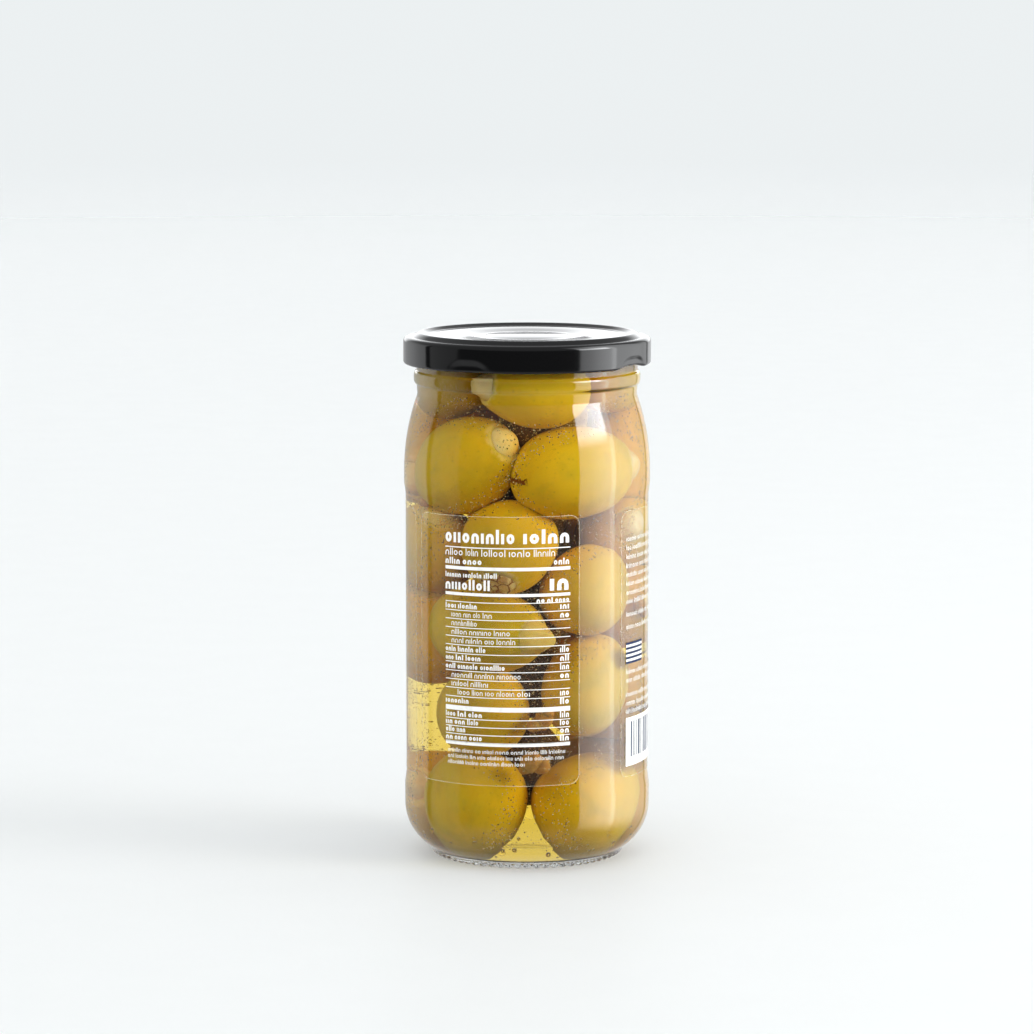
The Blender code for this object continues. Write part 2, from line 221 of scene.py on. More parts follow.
def add(tree, kind, settings=None, **wires):
    """A node, with settings such as operation, and inputs by name that are values or other nodes' outputs."""
    made = tree.nodes.new(kind)
    for name, value in (settings or {}).items():
        setattr(made, name, value)
    for name, value in wires.items():
        key = int(name[1:]) if name[0] == "_" else name.replace("_", " ")
        if isinstance(value, bpy.types.NodeSocket):
            tree.links.new(value, made.inputs[key])
        elif made.inputs[key].type == "RGBA" and len(value) == 3:
            made.inputs[key].default_value = (*value, 1.0)
        else:
            made.inputs[key].default_value = value
    return made


def maths(tree, operation, first, second=0.0, clamp=False):
    made = add(tree, "ShaderNodeMath", {"operation": operation, "use_clamp": clamp}, _0=first, _1=second)
    return made.outputs[0]


def blend_colours(tree, factor, first, second):
    made = tree.nodes.new("ShaderNodeMix")
    made.data_type = "RGBA"
    for index, value in ((0, factor), (6, first), (7, second)):
        if isinstance(value, bpy.types.NodeSocket):
            tree.links.new(value, made.inputs[index])
        else:
            made.inputs[index].default_value = (*value, 1.0) if index else value
    return made.outputs[2]


def step_between(tree, value, low, high):
    """A mask that climbs smoothly from 0 at low to 1 at high."""
    made = add(tree, "ShaderNodeMapRange", {"interpolation_type": "SMOOTHSTEP"}, Value=value)
    made.inputs["From Min"].default_value = low
    made.inputs["From Max"].default_value = high
    return made.outputs["Result"]


# %% [markdown]
# Food, lacquer and ink all have a fine unevenness. Two node groups hold those effects, so that each material places
# the same effect with its own sizes: `mottle` gives a cloudy mask, and `fine_relief` gives a bumped normal.

# %% Node group: mottle
def new_group(name, inputs, outputs):
    group = bpy.data.node_groups.new(name, "ShaderNodeTree")
    for label, kind, value in inputs:
        socket = group.interface.new_socket(label, in_out="INPUT", socket_type=kind)
        if value is not None:
            socket.default_value = value
    for label, kind in outputs:
        group.interface.new_socket(label, in_out="OUTPUT", socket_type=kind)
    return group, group.nodes.new("NodeGroupInput").outputs, group.nodes.new("NodeGroupOutput").inputs


NUMBER = "NodeSocketFloat"
VECTOR = "NodeSocketVector"

mottle, given, result = new_group(
    "mottle",
    [("Place", VECTOR, None), ("Size", NUMBER, 0.01), ("Low", NUMBER, 0.4), ("High", NUMBER, 0.6)],
    [("Mask", NUMBER)],
)
cloud = add(mottle, "ShaderNodeTexNoise", Vector=given["Place"], Scale=maths(mottle, "DIVIDE", 1.0, given["Size"]))
cloud.inputs["Detail"].default_value = 3.0
spread = add(mottle, "ShaderNodeMapRange", {"interpolation_type": "SMOOTHSTEP"}, Value=cloud.outputs["Fac"])
mottle.links.new(given["Low"], spread.inputs["From Min"])
mottle.links.new(given["High"], spread.inputs["From Max"])
mottle.links.new(spread.outputs["Result"], result["Mask"])

# %% Node group: fine_relief
fine_relief, given, result = new_group(
    "fine_relief",
    [("Place", VECTOR, None), ("Size", NUMBER, 0.001), ("Depth", NUMBER, 0.0001), ("Extra Height", NUMBER, 0.0)],
    [("Normal", VECTOR)],
)
grain = add(fine_relief, "ShaderNodeTexNoise", Vector=given["Place"])
fine_relief.links.new(maths(fine_relief, "DIVIDE", 1.0, given["Size"]), grain.inputs["Scale"])
grain.inputs["Detail"].default_value = 2.0
height = maths(fine_relief, "MULTIPLY", grain.outputs["Fac"], given["Depth"])
height = maths(fine_relief, "ADD", height, given["Extra Height"])
bump = add(fine_relief, "ShaderNodeBump", Height=height, Strength=1.0, Distance=1.0)
fine_relief.links.new(bump.outputs["Normal"], result["Normal"])


def use_group(tree, group, **wires):
    made = tree.nodes.new("ShaderNodeGroup")
    made.node_tree = group
    for name, value in wires.items():
        key = name.replace("_", " ")
        if isinstance(value, bpy.types.NodeSocket):
            tree.links.new(value, made.inputs[key])
        else:
            made.inputs[key].default_value = value
    return made.outputs[0]


def place_of(tree):
    return add(tree, "ShaderNodeTexCoord").outputs["Object"]


print("groups:", mottle.name, fine_relief.name)

# %% [markdown]
# ## Clear things
# Glass, brine and droplets bend light. A lamp's light can't be aimed through a bending surface, so the shader lets
# shadow rays straight through: a Mix with a Transparent shader, driven by Is Shadow Ray. The olives are then lit
# evenly, while the eye still sees the bending. Where the brine wets the glass there is almost no mirroring, because
# the two bend light nearly alike, so the wet faces have a black Specular Tint: they bend light and mirror nothing.
# The brine also soaks up blue along its depth, with a plain Volume Absorption, so thin edges are pale and long ways
# through it are golden.

# %% Clear finishes
GLASS_TINT = (0.985, 0.995, 0.99)
GLASS_BENDING = 1.5
BRINE_BENDING = 1.34
DROPLET_BENDING = 1.33
BRINE_COLOUR = (0.99, 0.84, 0.04)
BRINE_DEPTH = 46.0  # absorption for each metre of way


def clear_finish(name, colour, bending, wet, relief_size, relief_depth):
    finish, tree, shader = new_finish(name)
    set_plain(shader, Base_Color=colour, Roughness=0.0, IOR=bending, Transmission_Weight=1.0)
    if wet:
        set_plain(shader, Specular_Tint=(0.0, 0.0, 0.0))
    normal = use_group(tree, fine_relief, Place=place_of(tree), Size=relief_size, Depth=relief_depth)
    tree.links.new(normal, shader.inputs["Normal"])
    passing = add(tree, "ShaderNodeBsdfTransparent", Color=colour)
    path = tree.nodes.new("ShaderNodeLightPath")
    mixed = tree.nodes.new("ShaderNodeMixShader")
    tree.links.new(path.outputs["Is Shadow Ray"], mixed.inputs[0])
    tree.links.new(shader.outputs[0], mixed.inputs[1])
    tree.links.new(passing.outputs[0], mixed.inputs[2])
    tree.links.new(mixed.outputs[0], tree.nodes["Material Output"].inputs["Surface"])
    return finish


glass_finish = clear_finish("glass", GLASS_TINT, GLASS_BENDING, False, 0.011, 0.000010)
wet_glass_finish = clear_finish("glass_wet", GLASS_TINT, GLASS_BENDING, True, 0.009, 0.000030)
brine_finish = clear_finish("brine", (1.0, 1.0, 1.0), BRINE_BENDING, True, 0.006, 0.000010)
droplet_finish = clear_finish("droplet", (1.0, 0.95, 0.8), DROPLET_BENDING, True, 0.001, 0.000005)
soak = add(brine_finish.node_tree, "ShaderNodeVolumeAbsorption", Color=BRINE_COLOUR, Density=BRINE_DEPTH)
brine_output = brine_finish.node_tree.nodes["Material Output"]
brine_finish.node_tree.links.new(soak.outputs[0], brine_output.inputs["Volume"])

# %% [markdown]
# ## The glass jar
# The jar is blown into a mould, so its section is a line that is turned about the axis: inner floor, inner wall,
# rim, threads, bead, shoulder, a shallow panel for the labels, a wide round heel and a foot with a hollow. The same
# section as in the solids is used, with rounder corners and more steps. What turning can't give is then pushed into
# the mesh: four thread starts, a foot ring with knurling that keeps the hot jar from sliding, the two faint mould
# seams, and the slow waviness that makes real glass look alive.

# %% Sizes of the jar
BODY_RADIUS = 33.1 * MM
WALL = 2.4 * MM
PANEL_DEPTH = 0.4 * MM
PANEL_LOW = 19.0 * MM
PANEL_HIGH = 101.0 * MM
PANEL_BLEND = 3.0 * MM
HEEL_RADIUS = 13.5 * MM
HEEL_TOP = 13.6 * MM
FOOT_OUTER = 26.2 * MM
FOOT_CREST = 24.9 * MM
FOOT_INNER = 23.6 * MM
FOOT_HEIGHT = 1.5 * MM
PUNT_RISE = 2.2 * MM
FLOOR_EDGE = 3.6 * MM
FLOOR_CROWN = 4.8 * MM
CORNER_RADIUS = 10.0 * MM
SHOULDER_START = 104.0 * MM
SHOULDER_RADIUS = 60.0 * MM
SHOULDER_END = 124.6 * MM
NECK_RADIUS = 29.65 * MM
BEAD_RADIUS = 30.4 * MM
BEAD_LOW = 127.4 * MM
BEAD_HIGH = 130.8 * MM
RIM_HEIGHT = 139.2 * MM
RIM_ROUND = 0.8 * MM
BRINE_TOP = 135.0 * MM
JAR_STEPS = 260  # four for each tooth of the foot


def shoulder_radius(height):
    """Outer radius of the glass between the body and the neck."""
    rise = min(max(height, SHOULDER_START), SHOULDER_END) - SHOULDER_START
    return BODY_RADIUS - SHOULDER_RADIUS + math.sqrt(SHOULDER_RADIUS**2 - rise**2)


def inner_radius(height):
    """Radius of the hollow at this height, from the floor's corner to the neck."""
    radius = shoulder_radius(height) - WALL
    below = FLOOR_EDGE + CORNER_RADIUS - height
    if below > 0:
        radius += math.sqrt(max(CORNER_RADIUS**2 - below**2, 0.0)) - CORNER_RADIUS
    return radius


def shoulder(steps):
    heights = [SHOULDER_START + (SHOULDER_END - SHOULDER_START) * i / steps for i in range(steps + 1)]
    return [(shoulder_radius(z), z) for z in heights]


# %% The jar's section
def hollow_section():
    """The inner face, from the middle of the floor to the neck."""
    floor_end = BODY_RADIUS - WALL - CORNER_RADIUS
    points = [(0.0, FLOOR_CROWN), (floor_end / 2, (FLOOR_CROWN + FLOOR_EDGE) / 2 + 0.2 * MM)]
    points += arc(floor_end, FLOOR_EDGE + CORNER_RADIUS, CORNER_RADIUS, -90, 0, 12)
    straight = [FLOOR_EDGE + CORNER_RADIUS + (SHOULDER_START - FLOOR_EDGE - CORNER_RADIUS) * i / 14 for i in range(1, 14)]
    points += [(BODY_RADIUS - WALL, z) for z in straight]
    return points + [(r - WALL, z) for r, z in shoulder(10)]


def jar_section():
    """From the middle of the inner floor over the rim and down the outside to the middle of the base."""
    inner_neck = shoulder_radius(SHOULDER_END) - WALL
    bead_out = BEAD_RADIUS - NECK_RADIUS
    points = hollow_section()
    points += arc(inner_neck + RIM_ROUND, RIM_HEIGHT - RIM_ROUND, RIM_ROUND, 180, 90, 4)
    points += arc(NECK_RADIUS - RIM_ROUND, RIM_HEIGHT - RIM_ROUND, RIM_ROUND, 90, 0, 4)
    points += [(NECK_RADIUS, RIM_HEIGHT - RIM_ROUND - 0.4 * MM * i) for i in range(1, 18)]
    points += [(NECK_RADIUS, BEAD_HIGH + 0.4 * MM), (NECK_RADIUS + 0.8 * bead_out, BEAD_HIGH - 0.1 * MM)]
    points += [(BEAD_RADIUS, BEAD_HIGH - 0.9 * MM), (BEAD_RADIUS, BEAD_LOW + 1.1 * MM)]
    points += [(NECK_RADIUS + 0.8 * bead_out, BEAD_LOW + 0.4 * MM), (NECK_RADIUS, BEAD_LOW)]
    points += reversed(shoulder(10))
    points += [(BODY_RADIUS, PANEL_HIGH), (BODY_RADIUS - PANEL_DEPTH, PANEL_HIGH - PANEL_BLEND)]
    tall = PANEL_HIGH - PANEL_LOW - 2 * PANEL_BLEND
    points += [(BODY_RADIUS - PANEL_DEPTH, PANEL_HIGH - PANEL_BLEND - tall * i / 12) for i in range(1, 13)]
    points += [(BODY_RADIUS, PANEL_LOW)]
    heel_end = -math.degrees(math.acos((FOOT_OUTER + 0.5 * MM - BODY_RADIUS + HEEL_RADIUS) / HEEL_RADIUS))
    points += arc(BODY_RADIUS - HEEL_RADIUS, HEEL_TOP, HEEL_RADIUS, 0, heel_end, 12)
    points += [(FOOT_OUTER, FOOT_HEIGHT), (FOOT_OUTER - 0.4 * MM, 0.35 * MM), (FOOT_CREST + 0.5 * MM, 0.0)]
    points += [(FOOT_CREST - 0.5 * MM, 0.0), (FOOT_INNER, 0.5 * MM)]
    return points + [(FOOT_INNER * 0.75, PUNT_RISE * 0.6), (FOOT_INNER * 0.4, PUNT_RISE * 0.92), (0.0, PUNT_RISE)]


# %% Threads, knurling, seams and waviness
THREADS = 4
THREAD_SPAN = 62.0
THREAD_LOW = 135.7 * MM
THREAD_DROP = 1.0 * MM
THREAD_TALL = 1.9 * MM
THREAD_OUT = 1.35 * MM
LUG_AT = 62.0
FOOT_TEETH = 65
TOOTH_RISE = 0.42 * MM
SEAM_AT = (98.0, -82.0)
SEAM_OUT = 0.05 * MM
WAVE_INSIDE = 0.10 * MM
WAVE_OUTSIDE = 0.012 * MM


def thread_push(azimuth, height):
    """How far a thread stands out of the neck here."""
    start = (azimuth - LUG_AT + THREAD_SPAN / 2) % (360 / THREADS) / THREAD_SPAN
    if start > 1:
        return 0.0
    low = THREAD_LOW + THREAD_DROP * (1 - start)
    across = ease((height - low) / (0.5 * MM)) * ease((low + THREAD_TALL - height) / (0.5 * MM))
    return THREAD_OUT * across * ease(min(start, 1 - start) * 6)


def tooth_push(azimuth):
    """The foot ring is cut by shallow notches; the teeth between them touch the table."""
    return TOOTH_RISE * (0.5 - 0.5 * math.cos(math.radians(azimuth) * FOOT_TEETH)) ** 1.5


def shape_glass(vert):
    azimuth = azimuth_of(vert.co)
    radius = math.hypot(vert.co.x, vert.co.y)
    height = vert.co.z
    if radius < 1 * MM:
        return
    inside = height > FLOOR_EDGE - 0.1 * MM and radius < shoulder_radius(height) - WALL / 2
    wave = noise.noise(Vector((vert.co.x, vert.co.y, height * 0.6)) * 90)
    radius += wave * (WAVE_INSIDE if inside else WAVE_OUTSIDE) * ease((height - 15 * MM) / (10 * MM))
    if not inside:
        if height > BEAD_HIGH + 2 * MM:
            radius += thread_push(azimuth, height)
        elif height > FOOT_HEIGHT:
            for seam in SEAM_AT:
                radius += SEAM_OUT * math.exp(-(((azimuth - seam) / 0.8) ** 2))
        if height < FOOT_HEIGHT * 0.7 and radius > FOOT_INNER - 0.5 * MM:
            height += tooth_push(azimuth) * ease((radius - FOOT_INNER + 0.5 * MM) / (0.6 * MM))
    vert.co = around(azimuth, radius, height)


# %% Turn the jar
glass = turned("jar_glass", softened(jar_section(), 0.5 * MM), JAR_STEPS)
for vert in glass.data.vertices:
    shape_glass(vert)
smooth(glass)


def is_wet(middle):
    """Whether a face of the glass touches the brine."""
    radius = math.hypot(middle.x, middle.y)
    return FLOOR_EDGE - 0.3 * MM < middle.z < BRINE_TOP and radius < inner_radius(middle.z) + WALL / 2


for face in glass.data.polygons:
    face.material_index = 1 if is_wet(face.center) else 0
dress(glass, "glass", glass_finish, wet_glass_finish, instead_of="jar")

# %% [markdown]
# ## The brine
# The liquid fills the hollow up into the neck. If its mesh stopped at the glass, a thin line of air would show as a
# silver film, so it reaches a quarter of a millimetre into the wall. Its top is a flat face with a small meniscus,
# hidden by the lid's skirt.

# %% Brine
BRINE_REACH = 0.25 * MM
MENISCUS = 0.5 * MM


def brine_section():
    neck = inner_radius(BRINE_TOP) + BRINE_REACH
    points = [(0.0, BRINE_TOP - MENISCUS), (neck - 2.5 * MM, BRINE_TOP - MENISCUS), (neck - 0.6 * MM, BRINE_TOP)]
    points += [(neck, BRINE_TOP), (neck, SHOULDER_END + 3 * MM)]
    wall = [(r + BRINE_REACH, z - (BRINE_REACH if z < FLOOR_EDGE + CORNER_RADIUS / 2 else 0)) for r, z in hollow_section()]
    points += reversed(wall[1:])
    return points + [(0.0, FLOOR_CROWN - BRINE_REACH)]


brine = turned("brine", brine_section(), 192)
smooth(brine, 50)
dress(brine, "brine", brine_finish)

# %% [markdown]
# ## Where the olives lie
# The heap is the same list as in the solids: where each olive's middle is, how long and wide it is, and how it is
# turned. Each is pushed out until it rests against the glass. Behind them a few more stand up the middle of the jar,
# as in a packed jar, and close most of the view through it.

# %% The olives' places
WALL_CLEAR = 0.4 * MM
FULLER_END = 0.07

# azimuth and height of the middle, length and width, turn of the long axis, lean out of the tangent plane, how far
# the nut stands out of the open end, and how pointed the nut is (a negative value is a broken, cracked end)
Olive = namedtuple("Olive", "azimuth height length width turn lean stuffing point")
OLIVES = (
    Olive(6, 127.0, 27, 21.0, 172, 8, 2.5, 0.7),
    Olive(-80, 127.5, 26, 20.5, 20, 0, 0, 0),
    Olive(105, 128.0, 26, 20.5, 15, 0, 2, 0.4),
    Olive(-168, 127.0, 27, 21.0, -30, 0, 2, 0.3),
    Olive(-48, 106.9, 30, 23.0, 30, -4, 1.2, 0.0),
    Olive(36, 105.1, 32, 23.5, 4, 5, 2, 0.3),
    Olive(112, 106.5, 27, 21.5, 60, 0, 0, 0),
    Olive(-146, 104.5, 29, 23.0, -15, 0, 2.5, 0.6),
    Olive(-14, 86.1, 27, 23.0, -95, 42, 1.5, -1),
    Olive(-93, 84.0, 28, 22.0, 50, 0, 2, 0.3),
    Olive(90, 88.0, 25, 20.0, 165, 25, 3, 0.2),
    Olive(165, 84.5, 29, 22.5, 30, 0, 2, 0.5),
    Olive(45, 74.0, 25, 22.0, 75, 10, 0, 0),
    Olive(-29, 63.4, 32, 23.0, -3, 12, 5.5, 1.0),
    Olive(-112, 59.0, 27, 21.5, 80, 0, 2, 0.4),
    Olive(118, 66.0, 28, 22.0, -20, 0, 2.5, 0.8),
    Olive(-172, 60.5, 28, 22.5, 65, 0, 0, 0),
    Olive(46, 48.4, 28, 21.5, 70, -5, 0, 0),
    Olive(-33, 41.6, 26, 22.5, 60, 20, 0, 0),
    Olive(133, 41.0, 28, 22.0, 10, 0, 2, -1),
    Olive(-43, 17.8, 28, 25.0, 65, 10, 0, 0),
    Olive(52, 17.0, 28, 25.0, 25, 10, 0, 0),
    Olive(138, 18.0, 28, 23.0, 70, 0, 2, 0.3),
    Olive(-132, 15.0, 27, 22.0, 10, 0, 2, 0.6),
)

# azimuth, radius and height of the middle, length, width
MIDDLE_OLIVES = (
    (0, 1, 25, 24, 15), (70, 1, 49, 23, 16.5), (140, 1, 69, 25, 16), (210, 1, 95, 27, 16.5), (35, 6, 117, 26, 19),
)


def long_axis(olive):
    """The direction from the closed end to the stuffed end."""
    a, turn, lean = (math.radians(v) for v in (olive.azimuth, olive.turn, olive.lean))
    outward = Vector((math.sin(a), -math.cos(a), 0))
    right = Vector((math.cos(a), math.sin(a), 0))
    tangent = right * math.cos(turn) + Vector((0, 0, 1)) * math.sin(turn)
    return tangent * math.cos(lean) + outward * math.sin(lean)


def egg_point(unit, olive):
    """A point of the unit ball as a point of the olive's plain egg shape, about its own X."""
    fuller = 1 - FULLER_END * unit.x
    half_long = olive.length / 2 * MM
    half_wide = olive.width / 2 * MM
    return Vector((unit.x * half_long, unit.y * half_wide * fuller, unit.z * half_wide * fuller))


def settle(olive, points):
    """The olive's middle: pushed out along its azimuth until it is WALL_CLEAR from the glass, and up off the floor."""
    height = olive.height * MM
    height += max(FLOOR_EDGE + WALL_CLEAR - height - min(p.z for p in points), 0.0)
    reach = 20 * MM
    for _ in range(25):
        moved = [p + around(olive.azimuth, reach, height) for p in points]
        reach += 0.8 * (min(inner_radius(p.z) - math.hypot(p.x, p.y) for p in moved) - WALL_CLEAR)
    return around(olive.azimuth, reach, height)


Place = namedtuple("Place", "olive facing middle")


def placed_olives():
    units, _ = ball_template(11, 8)
    made = []
    for olive in OLIVES:
        facing = long_axis(olive).to_track_quat("X", "Z").to_matrix()
        made.append(Place(olive, facing, settle(olive, [facing @ egg_point(u, olive) for u in units])))
    for azimuth, radius, height, length, width in MIDDLE_OLIVES:
        olive = Olive(azimuth, height, length, width, 82, 0, 0, 0)
        facing = long_axis(olive).to_track_quat("X", "Z").to_matrix()
        made.append(Place(olive, facing, around(azimuth, radius * MM, height * MM)))
    return made


places = placed_olives()
print(len(places), "olives,", sum(1 for p in places if p.olive.stuffing), "with the nut showing")

# %% [markdown]
# ## The olives
# A pickled olive is an egg that nothing keeps perfect: it is a little lumpy, squeezed, dimpled at the stalk's end,
# and open where the stone was punched out, with a soft lip round the nut that took its place. The closed end keeps
# the small cross that the stoning pin cut. Each olive starts as a ball with its poles on its long axis; a function
# moves the points, with noise for the lumps. The point's place in the olive's own frame and a tone are stored on the
# mesh, so that the skin's shader can draw the cross, the lip and the streaks where they belong; the tone is random
# for most olives and set high for a few, which the shader paints in shade.

# %% Shape of one olive
LUMP = 0.030
RIPPLE = 0.008
HOLE_RADIUS = 4.4 * MM
HOLE_DEPTH = 1.6 * MM
LIP = 0.12 * MM
NUT_BLUSH = 2.2 * MM  # how far round the opening the pale nut shows through the thin flesh
STALK_DIMPLE = 0.55 * MM
CUT_SEEN = (5, 7, 10, 14, 19)  # the olives whose pin cut shows
# Olives given a tone above 1.2 here are darkened by the skin's shader: painted shade for the one by the neck and those
# in the middle.
PAINTED_SHADE_TONES = {1: 1.45, 24: 2.0, 25: 2.0, 26: 2.0, 27: 2.0, 28: 2.0}  # one by the neck, and those in the middle
OLIVE_AROUND = 56
OLIVE_ALONG = 40


def olive_point(unit, olive, seed):
    point = egg_point(unit, olive)
    shift = Vector((seed * 3.7, seed * 1.3, seed * 2.1))
    point *= 1 + LUMP * noise.noise(unit * 1.2 + shift) + RIPPLE * noise.noise(unit * 3.6 + shift)
    from_axis = math.hypot(point.y, point.z)
    if point.x > 0 and olive.stuffing:
        point.x -= HOLE_DEPTH * ease((HOLE_RADIUS - from_axis) / (1.1 * MM))
        point.x += LIP * math.exp(-(((from_axis - HOLE_RADIUS - 0.9 * MM) / (0.8 * MM)) ** 2))
    elif point.x < 0 or not olive.stuffing:
        inward = -1 if point.x > 0 else 1
        point.x += inward * STALK_DIMPLE * math.exp(-((from_axis / (2.0 * MM)) ** 2))
    return point


def blush(point, olive):
    """1 at the opening, 0 a little away from it."""
    if point.x < 0 or not olive.stuffing:
        return 0.0
    return ease((HOLE_RADIUS + NUT_BLUSH - math.hypot(point.y, point.z)) / NUT_BLUSH)


def keep_off_glass(point, clear):
    """Pulls a point in to the given clearance from the wall, as the glass flattens what presses on it."""
    radius = math.hypot(point.x, point.y)
    most = inner_radius(point.z) - clear
    if radius > most:
        return Vector((point.x * most / radius, point.y * most / radius, point.z))
    return point


# %% Build the olives
def olives_mesh():
    chance = random.Random(7)
    units, faces = ball_template(OLIVE_AROUND, OLIVE_ALONG)
    bodies, own_places, tones, blushes, cuts = [], [], [], [], []
    for seed, place in enumerate(places):
        own = [olive_point(unit, place.olive, seed) for unit in units]
        bodies.append([keep_off_glass(place.facing @ p + place.middle, 0.15 * MM) for p in own])
        own_places += [p / MM for p in own]
        blushes += [blush(p, place.olive) for p in own]
        tones += [PAINTED_SHADE_TONES.get(seed, chance.random())] * len(own)
        cuts += [1.0 if seed in CUT_SEEN else 0.0] * len(own)
    marks = {"local": own_places, "tone": tones, "blush": blushes, "cut": cuts}
    return joined("olives_in_brine", faces, bodies, **marks)


# %% [markdown]
# The skin is golden green and lets light a few millimetres in, so edges that are lit from behind glow yellow: that
# is what Subsurface does. Its colour is built in layers: each olive's own tone, a cloudy change between golden and
# greener skin, faint streaks from end to end, small dark pores, and browned cuts. One more layer is painted shade:
# the skin near the jar's axis, and on the olives given a tone above 1.2, is darkened to deep brown for the shade deep
# in the heap, with pale specks like beads of oil on it. In the liquid the skin has hardly any shine, because the
# liquid bends light almost as much as the skin does.

# %% Skin of the olives
NUT_PALE = (0.96, 0.74, 0.42)
NUT_GOLDEN = (0.94, 0.63, 0.20)


def stored(tree, mark):
    return add(tree, "ShaderNodeAttribute", {"attribute_name": mark}).outputs


def skin_finish():
    finish, tree, shader = new_finish("olive_skin")
    place = place_of(tree)
    own = stored(tree, "local")["Vector"]
    axes = add(tree, "ShaderNodeSeparateXYZ", Vector=own).outputs
    colour = blend_colours(tree, stored(tree, "tone")["Fac"], (0.82, 0.535, 0.016), (0.73, 0.515, 0.026))
    cloud = use_group(tree, mottle, Place=place, Size=0.011, Low=0.38, High=0.66)
    colour = blend_colours(tree, maths(tree, "MULTIPLY", cloud, 0.5), colour, (0.90, 0.56, 0.012))
    shade = use_group(tree, mottle, Place=place, Size=0.006, Low=0.5, High=0.72)
    colour = blend_colours(tree, maths(tree, "MULTIPLY", shade, 0.35), colour, (0.52, 0.38, 0.025))
    along = add(tree, "ShaderNodeVectorMath", {"operation": "MULTIPLY"}, _0=own, _1=(0.00006, 0.001, 0.001))
    streak = use_group(tree, mottle, Place=along.outputs[0], Size=0.0011, Low=0.50, High=0.75)
    colour = blend_colours(tree, maths(tree, "MULTIPLY", streak, 0.20), colour, (0.60, 0.38, 0.02))
    level = add(tree, "ShaderNodeVectorMath", {"operation": "MULTIPLY"}, _0=place, _1=(1.0, 1.0, 0.0)).outputs[0]
    from_axis = add(tree, "ShaderNodeVectorMath", {"operation": "LENGTH"}, _0=level).outputs["Value"]
    # Painted shade: near the jar's axis, and on olives whose tone is above 1.2, the skin is darkened to deep brown for
    # the shade deep in the heap, and pale specks sit on that shade.
    painted_depth_shade = step_between(tree, from_axis, 0.016, 0.007)
    painted_depth_shade = maths(tree, "MAXIMUM", painted_depth_shade, step_between(tree, stored(tree, "tone")["Fac"], 1.2, 1.8))
    colour = blend_colours(tree, maths(tree, "MULTIPLY", painted_depth_shade, 0.92), colour, (0.15, 0.075, 0.010))
    beads = add(tree, "ShaderNodeTexVoronoi", Vector=place, Scale=1500.0).outputs["Distance"]
    beads = maths(tree, "MULTIPLY", step_between(tree, beads, 0.36, 0.22), painted_depth_shade)
    colour = blend_colours(tree, maths(tree, "MULTIPLY", beads, 0.75), colour, (0.80, 0.56, 0.22))
    pores = add(tree, "ShaderNodeTexVoronoi", Vector=place, Scale=620.0).outputs["Distance"]
    pores = maths(tree, "SUBTRACT", 1.0, step_between(tree, pores, 0.10, 0.22))
    colour = blend_colours(tree, maths(tree, "MULTIPLY", pores, 0.30), colour, (0.40, 0.26, 0.02))
    y = maths(tree, "ABSOLUTE", axes["Y"])
    z = maths(tree, "ABSOLUTE", axes["Z"])
    wander = add(tree, "ShaderNodeTexNoise", Vector=own, Scale=1.3, Detail=4.0).outputs["Fac"]
    ragged = maths(tree, "MULTIPLY", maths(tree, "SUBTRACT", wander, 0.5), 3.0)
    slit = step_between(tree, maths(tree, "ADD", z, ragged), 0.95, 0.55)
    slit = maths(tree, "MULTIPLY", slit, step_between(tree, maths(tree, "ADD", y, ragged), 4.4, 3.2))
    across = step_between(tree, maths(tree, "ADD", y, ragged), 0.32, 0.12)
    across = maths(tree, "MULTIPLY", across, step_between(tree, z, 3.4, 2.6))
    cut = maths(tree, "MAXIMUM", slit, maths(tree, "MULTIPLY", across, 0.8))
    cut = maths(tree, "MULTIPLY", cut, step_between(tree, axes["X"], -8.0, -10.0))
    cut = maths(tree, "MULTIPLY", cut, stored(tree, "cut")["Fac"])
    colour = blend_colours(tree, cut, colour, (0.24, 0.080, 0.012))
    frayed = use_group(tree, mottle, Place=place, Size=0.0018, Low=0.30, High=0.70)
    thin = maths(tree, "MULTIPLY", stored(tree, "blush")["Fac"], maths(tree, "ADD", 0.6, frayed), clamp=True)
    colour = blend_colours(tree, step_between(tree, thin, 0.25, 1.0), colour, NUT_GOLDEN)
    tree.links.new(colour, shader.inputs["Base Color"])
    sunk = maths(tree, "MULTIPLY", cut, -0.0004)
    normal = use_group(tree, fine_relief, Place=place, Size=0.0012, Depth=0.00008, Extra_Height=sunk)
    tree.links.new(normal, shader.inputs["Normal"])
    set_plain(shader, Roughness=0.42, IOR=1.18, Subsurface_Weight=0.85, Subsurface_Scale=0.0045)
    set_plain(shader, Subsurface_Radius=(1.0, 0.72, 0.12))
    return finish


olives = new_piece("olives_in_brine", olives_mesh())
smooth(olives)
dress(olives, "olive_skin", skin_finish(), instead_of="olives")

# %% [markdown]
# ## The stuffing
# The stone's place is taken by a whole blanched nut. Some show a round end, some the pointed tip, and one has broken,
# with brown cracks. The same ball is stretched to a nut: a taper makes the point, a flattening makes it wider than
# thick, shallow grooves run lengthways, and a broken end is cut off with a rough face.

# %% Shape of the nuts
NUT_LENGTH = 14.0
NUT_WIDTH = 11.4
NUT_THICK = 10.2
GROOVE = 0.018


